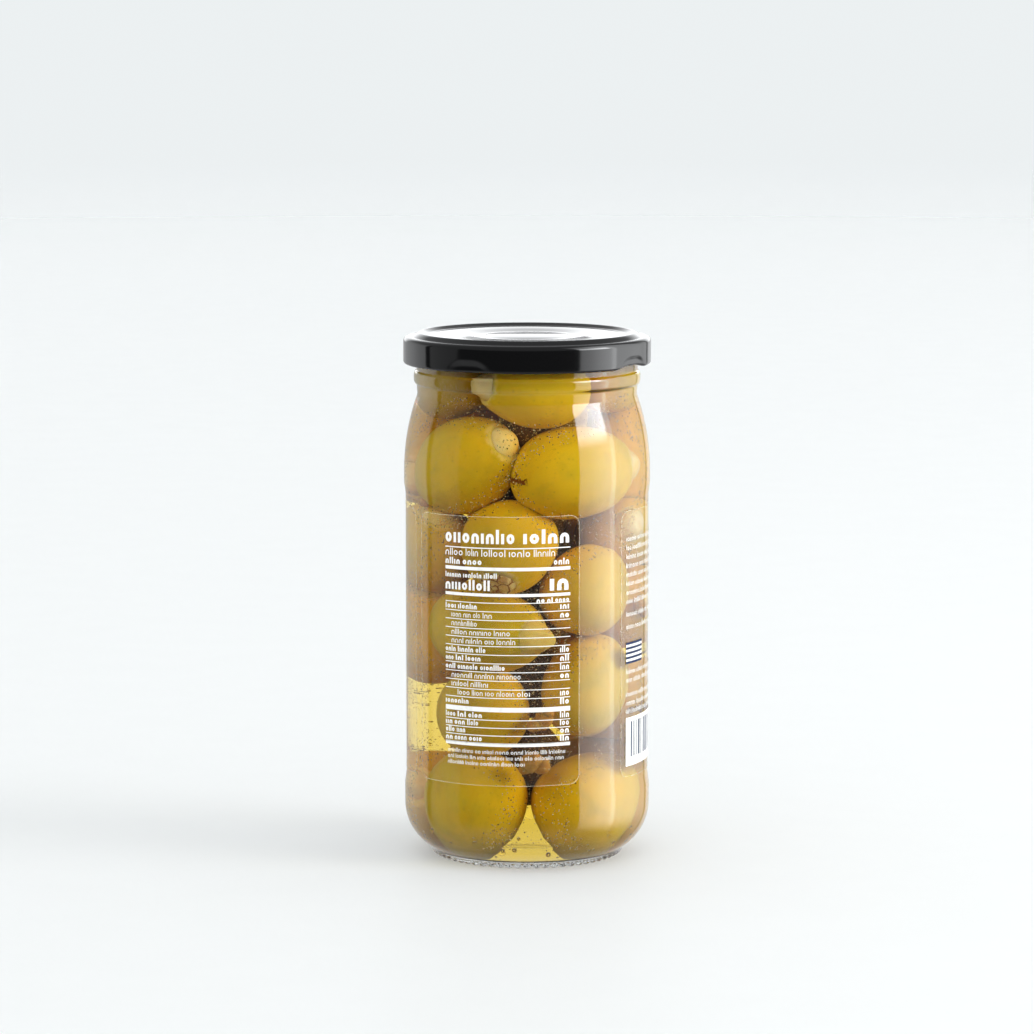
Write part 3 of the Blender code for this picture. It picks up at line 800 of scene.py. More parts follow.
def nut_point(unit, olive, seed):
    """A point of the unit ball as a point of the nut, in the olive's own frame."""
    shift = Vector((seed * 1.9, seed * 5.3, seed * 0.7))
    tip = max(olive.point, 0.0)
    taper = 1 - 0.42 * tip * ease((unit.x + 0.25) / 1.25)
    angle = math.atan2(unit.z, unit.y)
    grooves = 1 + GROOVE * noise.noise(Vector((math.cos(angle) * 3, math.sin(angle) * 3, unit.x)) + shift)
    grooves += 0.03 * noise.noise(unit * 1.7 + shift)
    x = unit.x * (1 + 0.10 * tip * max(unit.x, 0.0))
    if olive.point < 0:
        x = min(x, 0.78 + 0.07 * noise.noise(unit * 3.5 + shift) + 0.03 * noise.noise(unit * 9 + shift))
    point = Vector((x * NUT_LENGTH / 2, unit.y * taper * NUT_WIDTH / 2, unit.z * taper * NUT_THICK / 2))
    out = olive.length / 2 + olive.stuffing - NUT_LENGTH / 2 * (1 + 0.10 * tip)
    point = Vector((point.x, point.y * grooves, point.z * grooves)) + Vector((out, 0, 0))
    return point * MM


def nuts_mesh():
    units, faces = ball_template(36, 28)
    bodies, cracked, golden = [], [], []
    for seed, place in enumerate(places):
        if place.olive.stuffing:
            own = [place.facing @ nut_point(unit, place.olive, seed) + place.middle for unit in units]
            bodies.append([keep_off_glass(p, 0.2 * MM) for p in own])
            cracked += [1.0 if place.olive.point < 0 else 0.0] * len(own)
            golden += [1.0 if place.olive.point == 1.0 else 0.0] * len(own)
    return joined("nuts", faces, bodies, cracked=cracked, golden=golden)


# %% Finish of the nuts
def nut_finish(name, pale, golden, brown):
    finish, tree, shader = new_finish(name)
    place = place_of(tree)
    cracked = stored(tree, "cracked")["Fac"]
    cloud = use_group(tree, mottle, Place=place, Size=0.005, Low=0.35, High=0.7)
    colour = blend_colours(tree, cloud, pale, golden)
    colour = blend_colours(tree, maths(tree, "MULTIPLY", stored(tree, "golden")["Fac"], 0.8), colour, (1.0, 0.66, 0.14))
    bent = use_group(tree, mottle, Place=place, Size=0.002, Low=0.2, High=0.8)
    moved = add(tree, "ShaderNodeVectorMath", {"operation": "ADD"}, _0=place)
    tree.links.new(maths(tree, "MULTIPLY", bent, 0.0012), moved.inputs[1])
    cells = add(tree, "ShaderNodeTexVoronoi", {"feature": "DISTANCE_TO_EDGE"}, Vector=moved.outputs[0], Scale=330.0)
    crack = step_between(tree, cells.outputs["Distance"], 0.10, 0.02)
    crack = maths(tree, "MULTIPLY", crack, maths(tree, "MULTIPLY", cracked, 0.9))
    colour = blend_colours(tree, crack, colour, brown)
    stain = use_group(tree, mottle, Place=place, Size=0.0035, Low=0.56, High=0.68)
    stain = maths(tree, "MULTIPLY", stain, maths(tree, "ADD", 0.06, maths(tree, "MULTIPLY", cracked, 0.55)))
    colour = blend_colours(tree, stain, colour, brown)
    tree.links.new(colour, shader.inputs["Base Color"])
    sunk = maths(tree, "MULTIPLY", crack, -0.0004)
    normal = use_group(tree, fine_relief, Place=place, Size=0.0009, Depth=0.00010, Extra_Height=sunk)
    tree.links.new(normal, shader.inputs["Normal"])
    set_plain(shader, Roughness=0.5, IOR=1.2, Subsurface_Weight=0.5, Subsurface_Scale=0.003)
    set_plain(shader, Subsurface_Radius=(1.0, 0.7, 0.35))
    return finish


nut_skin = nut_finish("nut", NUT_PALE, NUT_GOLDEN, (0.42, 0.13, 0.022))
nuts = new_piece("nuts", nuts_mesh())
smooth(nuts)
dress(nuts, "stuffing", nut_skin)

# %% [markdown]
# ## Droplets and crumbs
# Fine droplets of oil cling to the glass in the gaps between the olives, thickest along the olives' edges. They are
# far too many to model one by one, so one tiny ball is copied with arrays of places: a random point on the wall is
# kept when it lies in a gap. A few larger bubbles rest near the floor, and two crumbs of nut are wedged low down.

# %% Gaps between the olives
def clearance(point):
    """About how far a point is from the nearest olive; below zero inside one."""
    nearest = 1.0
    for place in places:
        offset = point - place.middle
        if offset.length < 30 * MM:
            own = offset @ place.facing
            half_wide = place.olive.width / 2 * MM
            scaled = Vector((own.x / (place.olive.length / 2 * MM), own.y / half_wide, own.z / half_wide))
            nearest = min(nearest, (scaled.length - 1) * half_wide)
    return nearest


# %% Droplets
DROPLETS = 12000
DROPLET_SMALL = 0.10 * MM
DROPLET_LARGE = 0.25 * MM
BUBBLES = 60
GAP_DEPTH = 6.0 * MM  # nothing stands this far behind the glass where one looks into a gap


def droplet_spots():
    chance = random.Random(11)
    spots = []
    while len(spots) < DROPLETS:
        height = chance.uniform(6, 126) * MM
        radius = DROPLET_SMALL + (DROPLET_LARGE - DROPLET_SMALL) * chance.random() ** 2
        deep = chance.random() ** 3 * 3 * MM
        spot = around(chance.uniform(-180, 180), inner_radius(height) - radius - 0.1 * MM - deep, height)
        if clearance(spot) < radius + 0.05 * MM:
            continue
        inwards = 1 - GAP_DEPTH / spot.xy.length
        gap = clearance(Vector((spot.x * inwards, spot.y * inwards, spot.z)))
        crowd = 0.35 + 0.6 * noise.noise(spot * 130) + 0.7 * math.exp(-max(gap, 0.0) / (1.5 * MM))
        if gap > -0.6 * MM and chance.random() < crowd:
            spots.append((spot, radius))
    return spots


def bubble_spots():
    chance = random.Random(5)
    spots = []
    while len(spots) < BUBBLES:
        height = (FLOOR_EDGE / MM + chance.uniform(1.5, 6)) * MM
        radius = chance.uniform(0.3, 0.65) * MM
        spot = around(chance.uniform(-180, 180), inner_radius(height) - radius - 0.15 * MM, height)
        if clearance(spot) > radius:
            spots.append((spot, radius))
    return spots


def oil_finish():
    """Golden beads, pale or dark in a cloudy mix: the pale ones are painted glints and the dark ones painted dark rims,
    in place of clear drops that bend light.
    """
    finish, tree, shader = new_finish("oil_droplet")
    # Painted light: the pale and dark beads stand in for the glints and dark rims of clear drops.
    clear = use_group(tree, mottle, Place=place_of(tree), Size=0.0006, Low=0.44, High=0.56)
    colour = blend_colours(tree, clear, (0.24, 0.13, 0.02), (0.98, 0.78, 0.42))
    tree.links.new(colour, shader.inputs["Base Color"])
    set_plain(shader, Roughness=0.25, IOR=1.1, Alpha=0.7)
    return finish


for name, template, spots in (
    ("droplets", ball_template(4, 3), droplet_spots()),
    ("bubbles", ball_template(20, 14), bubble_spots()),
):
    corners, faces = template
    drops = new_piece(name, joined(name, faces, [[middle + c * size for c in corners] for middle, size in spots]))
    smooth(drops)
    dress(drops, "brine", oil_finish() if name == "droplets" else droplet_finish)

# %% Crumbs of nut
# azimuth, radius, height and size of each
CRUMBS = (
    (9, 24.5, 40.5, 2.6), (4, 25.5, 39.0, 1.8), (12, 25.5, 42.5, 1.5), (3, 26.0, 29.5, 2.6), (8, 25.0, 28.0, 2.2),
    (-1, 25.0, 27.5, 1.6), (82, 26.0, 68.0, 2.4), (87, 27.0, 66.0, 1.7), (-70, 26.0, 97.0, 1.6), (160, 26.0, 50.0, 2.4),
)


def crumbs_mesh():
    units, faces = ball_template(32, 24)
    bodies = []
    for azimuth, radius, height, size in CRUMBS:
        middle = around(azimuth, radius * MM, height * MM)
        points = [unit * size * MM for unit in units]
        rough = [1 + 0.35 * noise.noise((middle + p) * 420) + 0.12 * noise.noise((middle + p) * 1300) for p in points]
        bodies.append([keep_off_glass(middle + p * r, 0.2 * MM) for p, r in zip(points, rough)])
    return joined("crumbs", faces, bodies)


crumbs = new_piece("crumbs", crumbs_mesh())
smooth(crumbs)
dress(crumbs, "stuffing", nut_finish("crumb", (0.62, 0.34, 0.09), (0.50, 0.23, 0.05), (0.20, 0.07, 0.02)))

# %% [markdown]
# ## The lid
# A twist-off lid is one disc of tinned steel, pressed into rings: a sunk panel with a button that pops up when the
# vacuum is lost, a raised ring, a ledge, a rounded shoulder and a skirt that ends in a rolled edge, which is squeezed
# in at four lugs. The outer line is turned, the lugs are pushed in where the azimuth says, and Solidify gives the
# thickness of the sheet.

# %% Sizes and section of the lid
LID_RADIUS = 33.2 * MM
LID_TOP = 141.3 * MM
LID_SHEET = 0.4 * MM
SKIRT_LOW = 132.9 * MM
CREST_RADIUS = 28.6 * MM
PANEL_EDGE = 26.9 * MM
PANEL_TOP = 140.5 * MM
GROOVE_RADIUS = 31.0 * MM
GROOVE_DEPTH = 0.15 * MM
BUTTON_RADIUS = 15.4 * MM
BUTTON_DROP = 0.35 * MM
DIMPLE_RADIUS = 10.7 * MM
DIMPLE_RISE = 0.2 * MM
LUG_HALF = 3.0
LUG_EASE = 12.0
LUG_IN = 0.75 * MM
LUG_UP = {59.0: 0.75 * MM, 152.0: 0.6 * MM, -118.0: 0.6 * MM, -28.5: 0.0}
LUG_TALL = 3.6 * MM
SHOULDER_ROUND = 1.5 * MM
LEDGE_DROP = 1.05 * MM
SKIRT_MIDDLE = 136.6 * MM
CURL_RADIUS = 0.75 * MM
LID_STEPS = 240


def lid_section():
    """The outer face of the pressed sheet, from the middle of the top to the end of the rolled edge."""
    points = [(0.0, PANEL_TOP - BUTTON_DROP + DIMPLE_RISE)]
    points += [(DIMPLE_RADIUS - 0.5 * MM, PANEL_TOP - BUTTON_DROP + DIMPLE_RISE)]
    points += [(DIMPLE_RADIUS + 0.5 * MM, PANEL_TOP - BUTTON_DROP), (BUTTON_RADIUS - 0.9 * MM, PANEL_TOP - BUTTON_DROP)]
    points += [(BUTTON_RADIUS + 0.9 * MM, PANEL_TOP), (PANEL_EDGE - 0.4 * MM, PANEL_TOP)]
    points += [(PANEL_EDGE + 0.4 * MM, PANEL_TOP + 0.3 * MM), (CREST_RADIUS - 0.6 * MM, LID_TOP - 0.2 * MM)]
    points += [(CREST_RADIUS, LID_TOP), (CREST_RADIUS + 0.7 * MM, LID_TOP - 0.18 * MM)]
    ledge = LID_RADIUS - SHOULDER_ROUND
    points += [(GROOVE_RADIUS - 0.4 * MM, LID_TOP - LEDGE_DROP), (GROOVE_RADIUS, LID_TOP - LEDGE_DROP - GROOVE_DEPTH)]
    points += [(ledge, LID_TOP - LEDGE_DROP)]
    points += arc(ledge, LID_TOP - LEDGE_DROP - SHOULDER_ROUND, SHOULDER_ROUND, 60, 0, 6)
    points += [(LID_RADIUS, SKIRT_MIDDLE + (SKIRT_LOW - SKIRT_MIDDLE + CURL_RADIUS) * i / 6) for i in range(6)]
    return softened(points, 0.6 * MM, 5) + arc(
        LID_RADIUS - CURL_RADIUS, SKIRT_LOW + CURL_RADIUS, CURL_RADIUS, 0, -180, 12
    )


def lug_push(azimuth):
    """How far the rolled edge is pressed in and up here: all on a lug, nothing between lugs."""
    for middle, up in LUG_UP.items():
        away = abs((azimuth - middle + 180) % 360 - 180)
        if away < LUG_HALF + LUG_EASE:
            weight = ease((LUG_HALF + LUG_EASE - away) / LUG_EASE)
            return LUG_IN * weight, up * weight
    return 0.0, 0.0


def lid_mesh():
    bm = bmesh.new()
    points = [bm.verts.new((r, 0.0, z)) for r, z in lid_section()]
    line = [bm.edges.new(pair) for pair in zip(points, points[1:])]
    bmesh.ops.spin(bm, geom=points + line, cent=(0, 0, 0), axis=(0, 0, 1), angle=2 * math.pi, steps=LID_STEPS)
    bmesh.ops.remove_doubles(bm, verts=bm.verts, dist=0.01 * MM)
    for vert in bm.verts:
        if vert.co.z < SKIRT_LOW + LUG_TALL:
            azimuth = azimuth_of(vert.co)
            inward, up = lug_push(azimuth)
            arch = SKIRT_LOW + LUG_TALL * math.sqrt(inward / LUG_IN)
            weight = ease((arch - vert.co.z) / (2.0 * MM))
            radius = math.hypot(vert.co.x, vert.co.y) - inward * weight
            vert.co = around(azimuth, radius, vert.co.z + up * weight)
    bmesh.ops.recalc_face_normals(bm, faces=bm.faces)
    if sum(face.normal.z for face in bm.faces if face.calc_center_median().z > PANEL_TOP - MM) < 0:
        bmesh.ops.reverse_faces(bm, faces=bm.faces)
    mesh = bpy.data.meshes.new("lid_pressed")
    bm.to_mesh(mesh)
    bm.free()
    return mesh


# %% [markdown]
# Black lacquer on steel is a dark plastic film with a clear, slightly uneven gloss. A very faint relief keeps the
# reflections from looking like a mirror, a few patches are a little rougher from handling, and tiny pale specks of
# dust and wear sit on it here and there.

# %% Lacquer
def lacquer_finish():
    finish, tree, shader = new_finish("lid_lacquer")
    place = place_of(tree)
    handled = use_group(tree, mottle, Place=place, Size=0.012, Low=0.4, High=0.7)
    rough = maths(tree, "ADD", 0.06, maths(tree, "MULTIPLY", handled, 0.05))
    tree.links.new(rough, shader.inputs["Roughness"])
    specks = add(tree, "ShaderNodeTexVoronoi", Vector=place, Scale=260.0)
    chosen = step_between(tree, add(tree, "ShaderNodeSeparateColor", Color=specks.outputs["Color"]).outputs[0], 0.93, 0.95)
    dust = maths(tree, "MULTIPLY", step_between(tree, specks.outputs["Distance"], 0.07, 0.03), chosen)
    colour = blend_colours(tree, maths(tree, "MULTIPLY", dust, 0.5), (0.0035, 0.0035, 0.0038), (0.35, 0.35, 0.34))
    tree.links.new(colour, shader.inputs["Base Color"])
    normal = use_group(tree, fine_relief, Place=place, Size=0.0035, Depth=0.000006, Extra_Height=0.0)
    tree.links.new(normal, shader.inputs["Normal"])
    set_plain(shader, IOR=1.43)
    return finish


lid = new_piece("lid_pressed", lid_mesh())
sheet = lid.modifiers.new("Sheet", "SOLIDIFY")
sheet.thickness = LID_SHEET
sheet.offset = -1.0
apply_modifiers(lid)
smooth(lid, 60)
dress(lid, "lid_paint", lacquer_finish(), instead_of="lid")

# %% [markdown]
# ## The labels
# Both labels are clear film, printed in white. On the jar the film itself hardly shows: only its cut edges catch the
# light as fine pale lines. So the film is a thin curved sheet with very little cover, and a narrow pale strip along its
# outline paints the highlight that the cut edge catches. The label with the table is stuck on slightly askew, and its
# print leans with it.

# %% Film
GLASS_FACE = BODY_RADIUS - PANEL_DEPTH
FILM_GAP = 0.03 * MM
FILM = 0.10 * MM
FILM_FACE = GLASS_FACE + FILM_GAP + FILM
LABEL_LOW = 23.6 * MM
LABEL_HIGH = 95.4 * MM
LABEL_CORNER = 2.6 * MM
TABLE_TILT = 0.0173

Label = namedtuple("Label", "node start end tilt")
TABLE = Label("label_table", -58.6, 24.8, TABLE_TILT)
WRAP = Label("label_wrap", 49.3, 296.2, 0.0)


def label_width(label):
    return math.radians(label.end - label.start) * FILM_FACE


def on_label(label, along, height, lift):
    """The point this far along the label from its left edge, at this height, this far off the film's face."""
    azimuth = label.start + math.degrees(along / FILM_FACE)
    leaning = label.tilt * (along - label_width(label) / 2)
    return around(azimuth, FILM_FACE + lift, height + leaning)


def half_height(label, along):
    """Half the film's height here: the corners are round."""
    edge = min(along, label_width(label) - along, LABEL_CORNER)
    return (LABEL_HIGH - LABEL_LOW) / 2 - LABEL_CORNER + math.sqrt(
        max(LABEL_CORNER**2 - (LABEL_CORNER - edge) ** 2, 0.0)
    )


def closed_strip(bm, inner_line, outer_line, top_inner, top_outer):
    """A closed bar through four lines of points that run side by side."""
    rows = [[bm.verts.new(p) for p in points] for points in zip(inner_line, outer_line, top_outer, top_inner)]
    for one, other in zip(rows, rows[1:]):
        for k in range(4):
            bm.faces.new((one[k], one[(k + 1) % 4], other[(k + 1) % 4], other[k]))
    bm.faces.new(rows[0][::-1])
    bm.faces.new(rows[-1])


def mesh_of(bm, name):
    bmesh.ops.recalc_face_normals(bm, faces=bm.faces)
    mesh = bpy.data.meshes.new(name)
    bm.to_mesh(mesh)
    bm.free()
    return mesh


def film_mesh(label):
    width = label_width(label)
    middle = (LABEL_LOW + LABEL_HIGH) / 2
    corner = [LABEL_CORNER * (1 - math.cos(math.pi / 2 * i / 10)) for i in range(11)]
    straight = [LABEL_CORNER + (width - 2 * LABEL_CORNER) * i / 72 for i in range(1, 72)]
    stations = corner + straight + [width - c for c in reversed(corner)]
    lines = []
    for side, lift in ((-1, -FILM), (-1, 0), (1, -FILM), (1, 0)):
        lines.append([on_label(label, s, middle + side * half_height(label, s), lift) for s in stations])
    bm = bmesh.new()
    closed_strip(bm, *lines)
    return mesh_of(bm, label.node + "_film")


# %% Film's cut edge, painted as a highlight
EDGE_WIDTH = 0.20 * MM


def outline(label, inset):
    """Points along and up the film's outline, this far inside it."""
    width = label_width(label)
    half_tall = (LABEL_HIGH - LABEL_LOW) / 2
    middle = (LABEL_LOW + LABEL_HIGH) / 2
    across = width / 2 - LABEL_CORNER
    up = half_tall - LABEL_CORNER
    radius = LABEL_CORNER - inset
    made = []
    for first, sign_along, sign_up in ((0, 1, 1), (90, -1, 1), (180, -1, -1), (270, 1, -1)):
        for i in range(9):
            a = math.radians(first + 90 * i / 8)
            along = width / 2 + sign_along * across + radius * math.cos(a)
            made.append((along, middle + sign_up * up + radius * math.sin(a)))
    dense = []
    for (a0, h0), (a1, h1) in zip(made, made[1:] + made[:1]):
        pieces = max(1, int(abs(a1 - a0) / (1.5 * MM)))
        dense += [(a0 + (a1 - a0) * i / pieces, h0 + (h1 - h0) * i / pieces) for i in range(pieces)]
    return dense


def edge_mesh(label):
    outer = outline(label, 0.0)
    inner = [
        (a + (label_width(label) / 2 - a) / (label_width(label) / 2) * EDGE_WIDTH, h) for a, h in outer
    ]
    middle = (LABEL_LOW + LABEL_HIGH) / 2
    inner = [(a, h + (middle - h) / (middle - LABEL_LOW) * EDGE_WIDTH) for a, h in inner]
    bm = bmesh.new()
    rows = []
    for (a0, h0), (a1, h1) in zip(outer, inner):
        corners = ((a0, h0, 0.004), (a1, h1, 0.004), (a1, h1, 0.03), (a0, h0, 0.03))
        rows.append([bm.verts.new(on_label(label, a, h, lift * MM)) for a, h, lift in corners])
    for one, other in zip(rows, rows[1:] + rows[:1]):
        for k in range(4):
            bm.faces.new((one[k], one[(k + 1) % 4], other[(k + 1) % 4], other[k]))
    return mesh_of(bm, label.node + "_edge")


# %% Label finishes
def film_finish(name, cover, colour, roughness, grain):
    """Clear film, a little cloudy and uneven in gloss. Grain is the size of the clouds."""
    finish, tree, shader = new_finish(name)
    place = place_of(tree)
    cloud = use_group(tree, mottle, Place=place, Size=grain, Low=0.3, High=0.7)
    tree.links.new(blend_colours(tree, cloud, colour, tuple(c * 0.85 for c in colour)), shader.inputs["Base Color"])
    rough = maths(tree, "ADD", roughness, maths(tree, "MULTIPLY", cloud, roughness))
    tree.links.new(rough, shader.inputs["Roughness"])
    tree.links.new(maths(tree, "MULTIPLY", maths(tree, "ADD", cloud, 0.5), cover), shader.inputs["Alpha"])
    set_plain(shader, IOR=1.45)
    return finish


film = film_finish("label_film", 0.012, (0.80, 0.78, 0.70), 0.12, 0.012)
# The cut edge's pale colour is a painted highlight: the light that the film's cut edge catches.
painted_edge_highlight = film_finish("label_cut_edge", 0.17, (0.97, 0.90, 0.70), 0.3, 0.004)

for label in (TABLE, WRAP):
    clear = new_piece(label.node + "_film", film_mesh(label))
    smooth(clear, 40)
    dress(clear, "label_film", film, instead_of=label.node)
    dress(new_piece(label.node + "_edge", edge_mesh(label)), "label_film", painted_edge_highlight)

# %% [markdown]
# ## The print
# The print is thin white ink. It is built from what a printer would call rules, bars and greeked text: rows of small
# upright strokes that have the weight and rhythm of words and say nothing. Each stroke is a small closed block that
# follows the film's curve. Random draws come from one seeded source, so every run prints the same label.

# %% Ink blocks
INK_LIFT = 0.010 * MM
INK = 0.020 * MM


def ink_block(bm, label, along, height, width, tall):
    """A block of ink with its lower left corner at (along, height), bent round the jar."""
    parts = max(1, int(width / (1.6 * MM)))
    stations = [along + width * i / parts for i in range(parts + 1)]
    lines = []
    for up, lift in ((0, INK_LIFT), (0, INK_LIFT + INK), (tall, INK_LIFT), (tall, INK_LIFT + INK)):
        lines.append([on_label(label, s, height + up, lift) for s in stations])
    closed_strip(bm, *lines)


def ink_arch(bm, label, along, height, wide, tall, stroke, start, end, steps=9):
    """Part of an upright oval line, its angles in degrees from the right. 0 to 360 closes it."""
    rings = []
    closed = end - start == 360
    for i in range(steps + (0 if closed else 1)):
        a = math.radians(start + (end - start) * i / steps)
        corners = []
        for half_wide, half_tall, lift in (
            (wide / 2 - stroke, tall / 2 - stroke, INK_LIFT), (wide / 2 - stroke, tall / 2 - stroke, INK_LIFT + INK),
            (wide / 2, tall / 2, INK_LIFT + INK), (wide / 2, tall / 2, INK_LIFT),
        ):
            x = along + wide / 2 + half_wide * math.cos(a)
            y = height + tall / 2 + half_tall * math.sin(a)
            corners.append(bm.verts.new(on_label(label, x, y, lift)))
        rings.append(corners)
    following = rings[1:] + rings[:1] if closed else rings[1:]
    for one, other in zip(rings, following):
        for k in range(4):
            bm.faces.new((one[k], one[(k + 1) % 4], other[(k + 1) % 4], other[k]))
    if not closed:
        bm.faces.new(rings[0][::-1])
        bm.faces.new(rings[-1])


def ink_mark(bm, label, kind, along, height, size, wide, stroke):
    """One plain mark of a greeked word: a ring, a post, a tall post or an arch on two posts."""
    if kind == "ring":
        ink_arch(bm, label, along, height, wide, size, stroke, 0, 360)
    elif kind == "arch":
        ink_arch(bm, label, along, height + size - wide, wide, wide, stroke, 0, 180, 6)
        for x in (along, along + wide - stroke):
            ink_block(bm, label, x, height, stroke, size - wide / 2)
    else:
        ink_block(bm, label, along, height, stroke, size * (1.4 if kind == "tall" else 1.0))


def ink_word(bm, label, start, end, height, size, bold, chance):
    """Marks with the rhythm of a word, fitted between start and end. Size is the height of a low mark."""
    stroke = size * (0.31 if bold else 0.18)
    gap = size * 0.22
    kinds = []
    natural = 0.0
    while natural < end - start - size * 0.4:
        kinds.append(chance.choice(("ring", "ring", "arch", "arch", "post", "tall", "tall")))
        natural += (size * 0.82 if kinds[-1] in ("ring", "arch") else stroke) + gap
    fit = (end - start) / max(natural - gap, size * 0.3)
    along = start
    for kind in kinds:
        wide = size * 0.82 * fit
        ink_mark(bm, label, kind, along, height, size, wide, min(stroke * max(fit, 0.8), wide * 0.4))
        along += (wide if kind in ("ring", "arch") else stroke * fit) + gap * fit


def ink_line(bm, label, start, end, height, size, bold, chance):
    """Words of mixed lengths that fill the line exactly."""
    lengths = [size * chance.uniform(2.0, 6.5)]
    while sum(lengths) + size * 0.7 * len(lengths) < end - start - size * 2:
        lengths.append(size * chance.uniform(2.0, 6.5))
    spaces = size * 0.7 * (len(lengths) - 1)
    fit = (end - start - spaces) / sum(lengths)
    along = start
    for length in lengths:
        ink_word(bm, label, along, along + length * fit, height, size, bold, chance)
        along += length * fit + size * 0.7


# %% The table's rows
PRINT_LEFT = 10.1 * MM
PRINT_WIDTH = 35.0 * MM
RULE = 0.22 * MM
ROW_PITCH = 2.303 * MM
INDENT = 2.0 * MM
ROW_TEXT = 1.05 * MM

Row = namedtuple("Row", "indent words value")
NUTRIENT_ROWS = (
    Row(0, 0.28, 1), Row(1, 0.40, 1), Row(1, 0.28, 0), Row(1, 0.54, 0), Row(1, 0.58, 0), Row(0, 0.35, 1),
    Row(0, 0.31, 1), Row(0, 0.50, 1), Row(1, 0.62, 1), Row(1, 0.37, 0), Row(2, 0.69, 1), Row(0, 0.21, 1),
)
LOWER_ROWS = (Row(0, 0.32, 1), Row(0, 0.29, 1), Row(0, 0.18, 1), Row(0, 0.32, 1))


def table_print():
    chance = random.Random(3)
    bm = bmesh.new()

    def bar(height, tall):
        ink_block(bm, TABLE, PRINT_LEFT, height * MM - tall * MM / 2, PRINT_WIDTH, tall * MM)

    def words(start, end, height, size, bold=False, whole=False):
        """Text between two places along the print, in parts of its width."""
        fill = ink_word if whole else ink_line
        place = [PRINT_LEFT + PRINT_WIDTH * part for part in (start, end)]
        fill(bm, TABLE, *place, height * MM, size * MM, bold, chance)

    def row(height, given):
        start = given.indent * INDENT / PRINT_WIDTH
        words(start, given.words, height, ROW_TEXT / MM, bold=given.indent == 0)
        if given.value:
            words(0.92, 0.99, height, 1.2, bold=True, whole=True)

    words(0.0, 0.575, 88.2, 2.7, bold=True, whole=True)
    words(0.64, 0.99, 88.2, 2.7, bold=True, whole=True)
    bar(87.0, 0.30)
    words(0.0, 0.88, 84.8, 1.35)
    words(0.0, 0.32, 82.5, 1.25, bold=True)
    words(0.87, 0.99, 82.5, 1.25, bold=True)
    bar(81.5, 0.9)
    words(0.0, 0.44, 79.0, 1.0, bold=True)
    words(0.0, 0.385, 75.7, 2.0, bold=True, whole=True)
    words(0.84, 0.985, 75.7, 3.1, bold=True, whole=True)
    bar(74.6, 0.8)
    words(0.74, 0.99, 72.6, 0.95, bold=True)
    height = 72.5
    for given in NUTRIENT_ROWS:
        bar(height, RULE / MM)
        height -= ROW_PITCH / MM
        row(height + 0.5, given)
    bar(44.1, 1.25)
    height = 43.35
    for given in LOWER_ROWS:
        height -= 2.08
        row(height + 0.5, given)
        bar(height, RULE / MM)
    bar(34.7, 0.95)
    for height, end in ((32.2, 0.96), (30.6, 0.95), (29.0, 0.65)):
        words(0.02, end, height, 0.8)
    return mesh_of(bm, "print_table")


# %% The wrap label's print
WRAP_TEXT = 2.2 * MM
WRAP_TEXT_END = 44.0 * MM
STRIPES = 9
BACK_AT = 164.0


def barcode(bm_white, bm_navy, along, height, width, tall, chance):
    """A white field with dark bars of random widths."""
    ink_block(bm_white, WRAP, along, height, width, tall)
    bar_at = along + 2.4 * MM
    while bar_at < along + width - 2.6 * MM:
        thick = chance.choice((0.33, 0.33, 0.66, 0.99)) * MM
        ink_block(bm_navy, WRAP, bar_at, height + 2.4 * MM, thick, tall - 3.6 * MM)
        bar_at += thick + chance.choice((0.4, 0.4, 0.75, 1.1)) * MM


def striped_patch(bm_white, bm_navy, along, height, width, tall):
    """A small field of even navy and white stripes."""
    step = tall / STRIPES
    for i in range(STRIPES):
        ink_block(bm_navy if i % 2 == 0 else bm_white, WRAP, along, height + i * step, width, step * 0.98)


def leaf(bm, label, along, height, length, width, turn, steps=10):
    """A flat pointed leaf, from its stalk outwards."""
    c, s = math.cos(math.radians(turn)), math.sin(math.radians(turn))
    lines = [[], [], [], []]
    for i in range(steps + 1):
        t = i / steps
        half = width / 2 * math.sin(math.pi * min(max(t, 0.02), 0.98)) ** 0.8
        for k, (side, lift) in enumerate(((-1, INK_LIFT), (-1, INK_LIFT + INK), (1, INK_LIFT), (1, INK_LIFT + INK))):
            x = t * length * c - side * half * s
            y = t * length * s + side * half * c
            lines[k].append(on_label(label, along + x, height + y, lift))
    closed_strip(bm, *lines)


def sprig(bm, along, height):
    """A plain twig with paired leaves and round fruit, the size of a hand's width of label."""
    leaf(bm, WRAP, along - 17 * MM, height - 4 * MM, 36 * MM, 0.7 * MM, 14)
    for i in range(6):
        x = along + (-13 + 5.6 * i) * MM
        y = height + (-3.0 + 1.4 * i) * MM
        leaf(bm, WRAP, x, y, 10.5 * MM, 2.6 * MM, 62 - 4 * i)
        leaf(bm, WRAP, x + 1.5 * MM, y, 10.5 * MM, 2.6 * MM, -34 - 4 * i)
    for x, y in ((-9, -9), (-1, -8.5), (7, -5)):
        leaf(bm, WRAP, along + x * MM, height + y * MM, 6.4 * MM, 4.6 * MM, -70, 14)


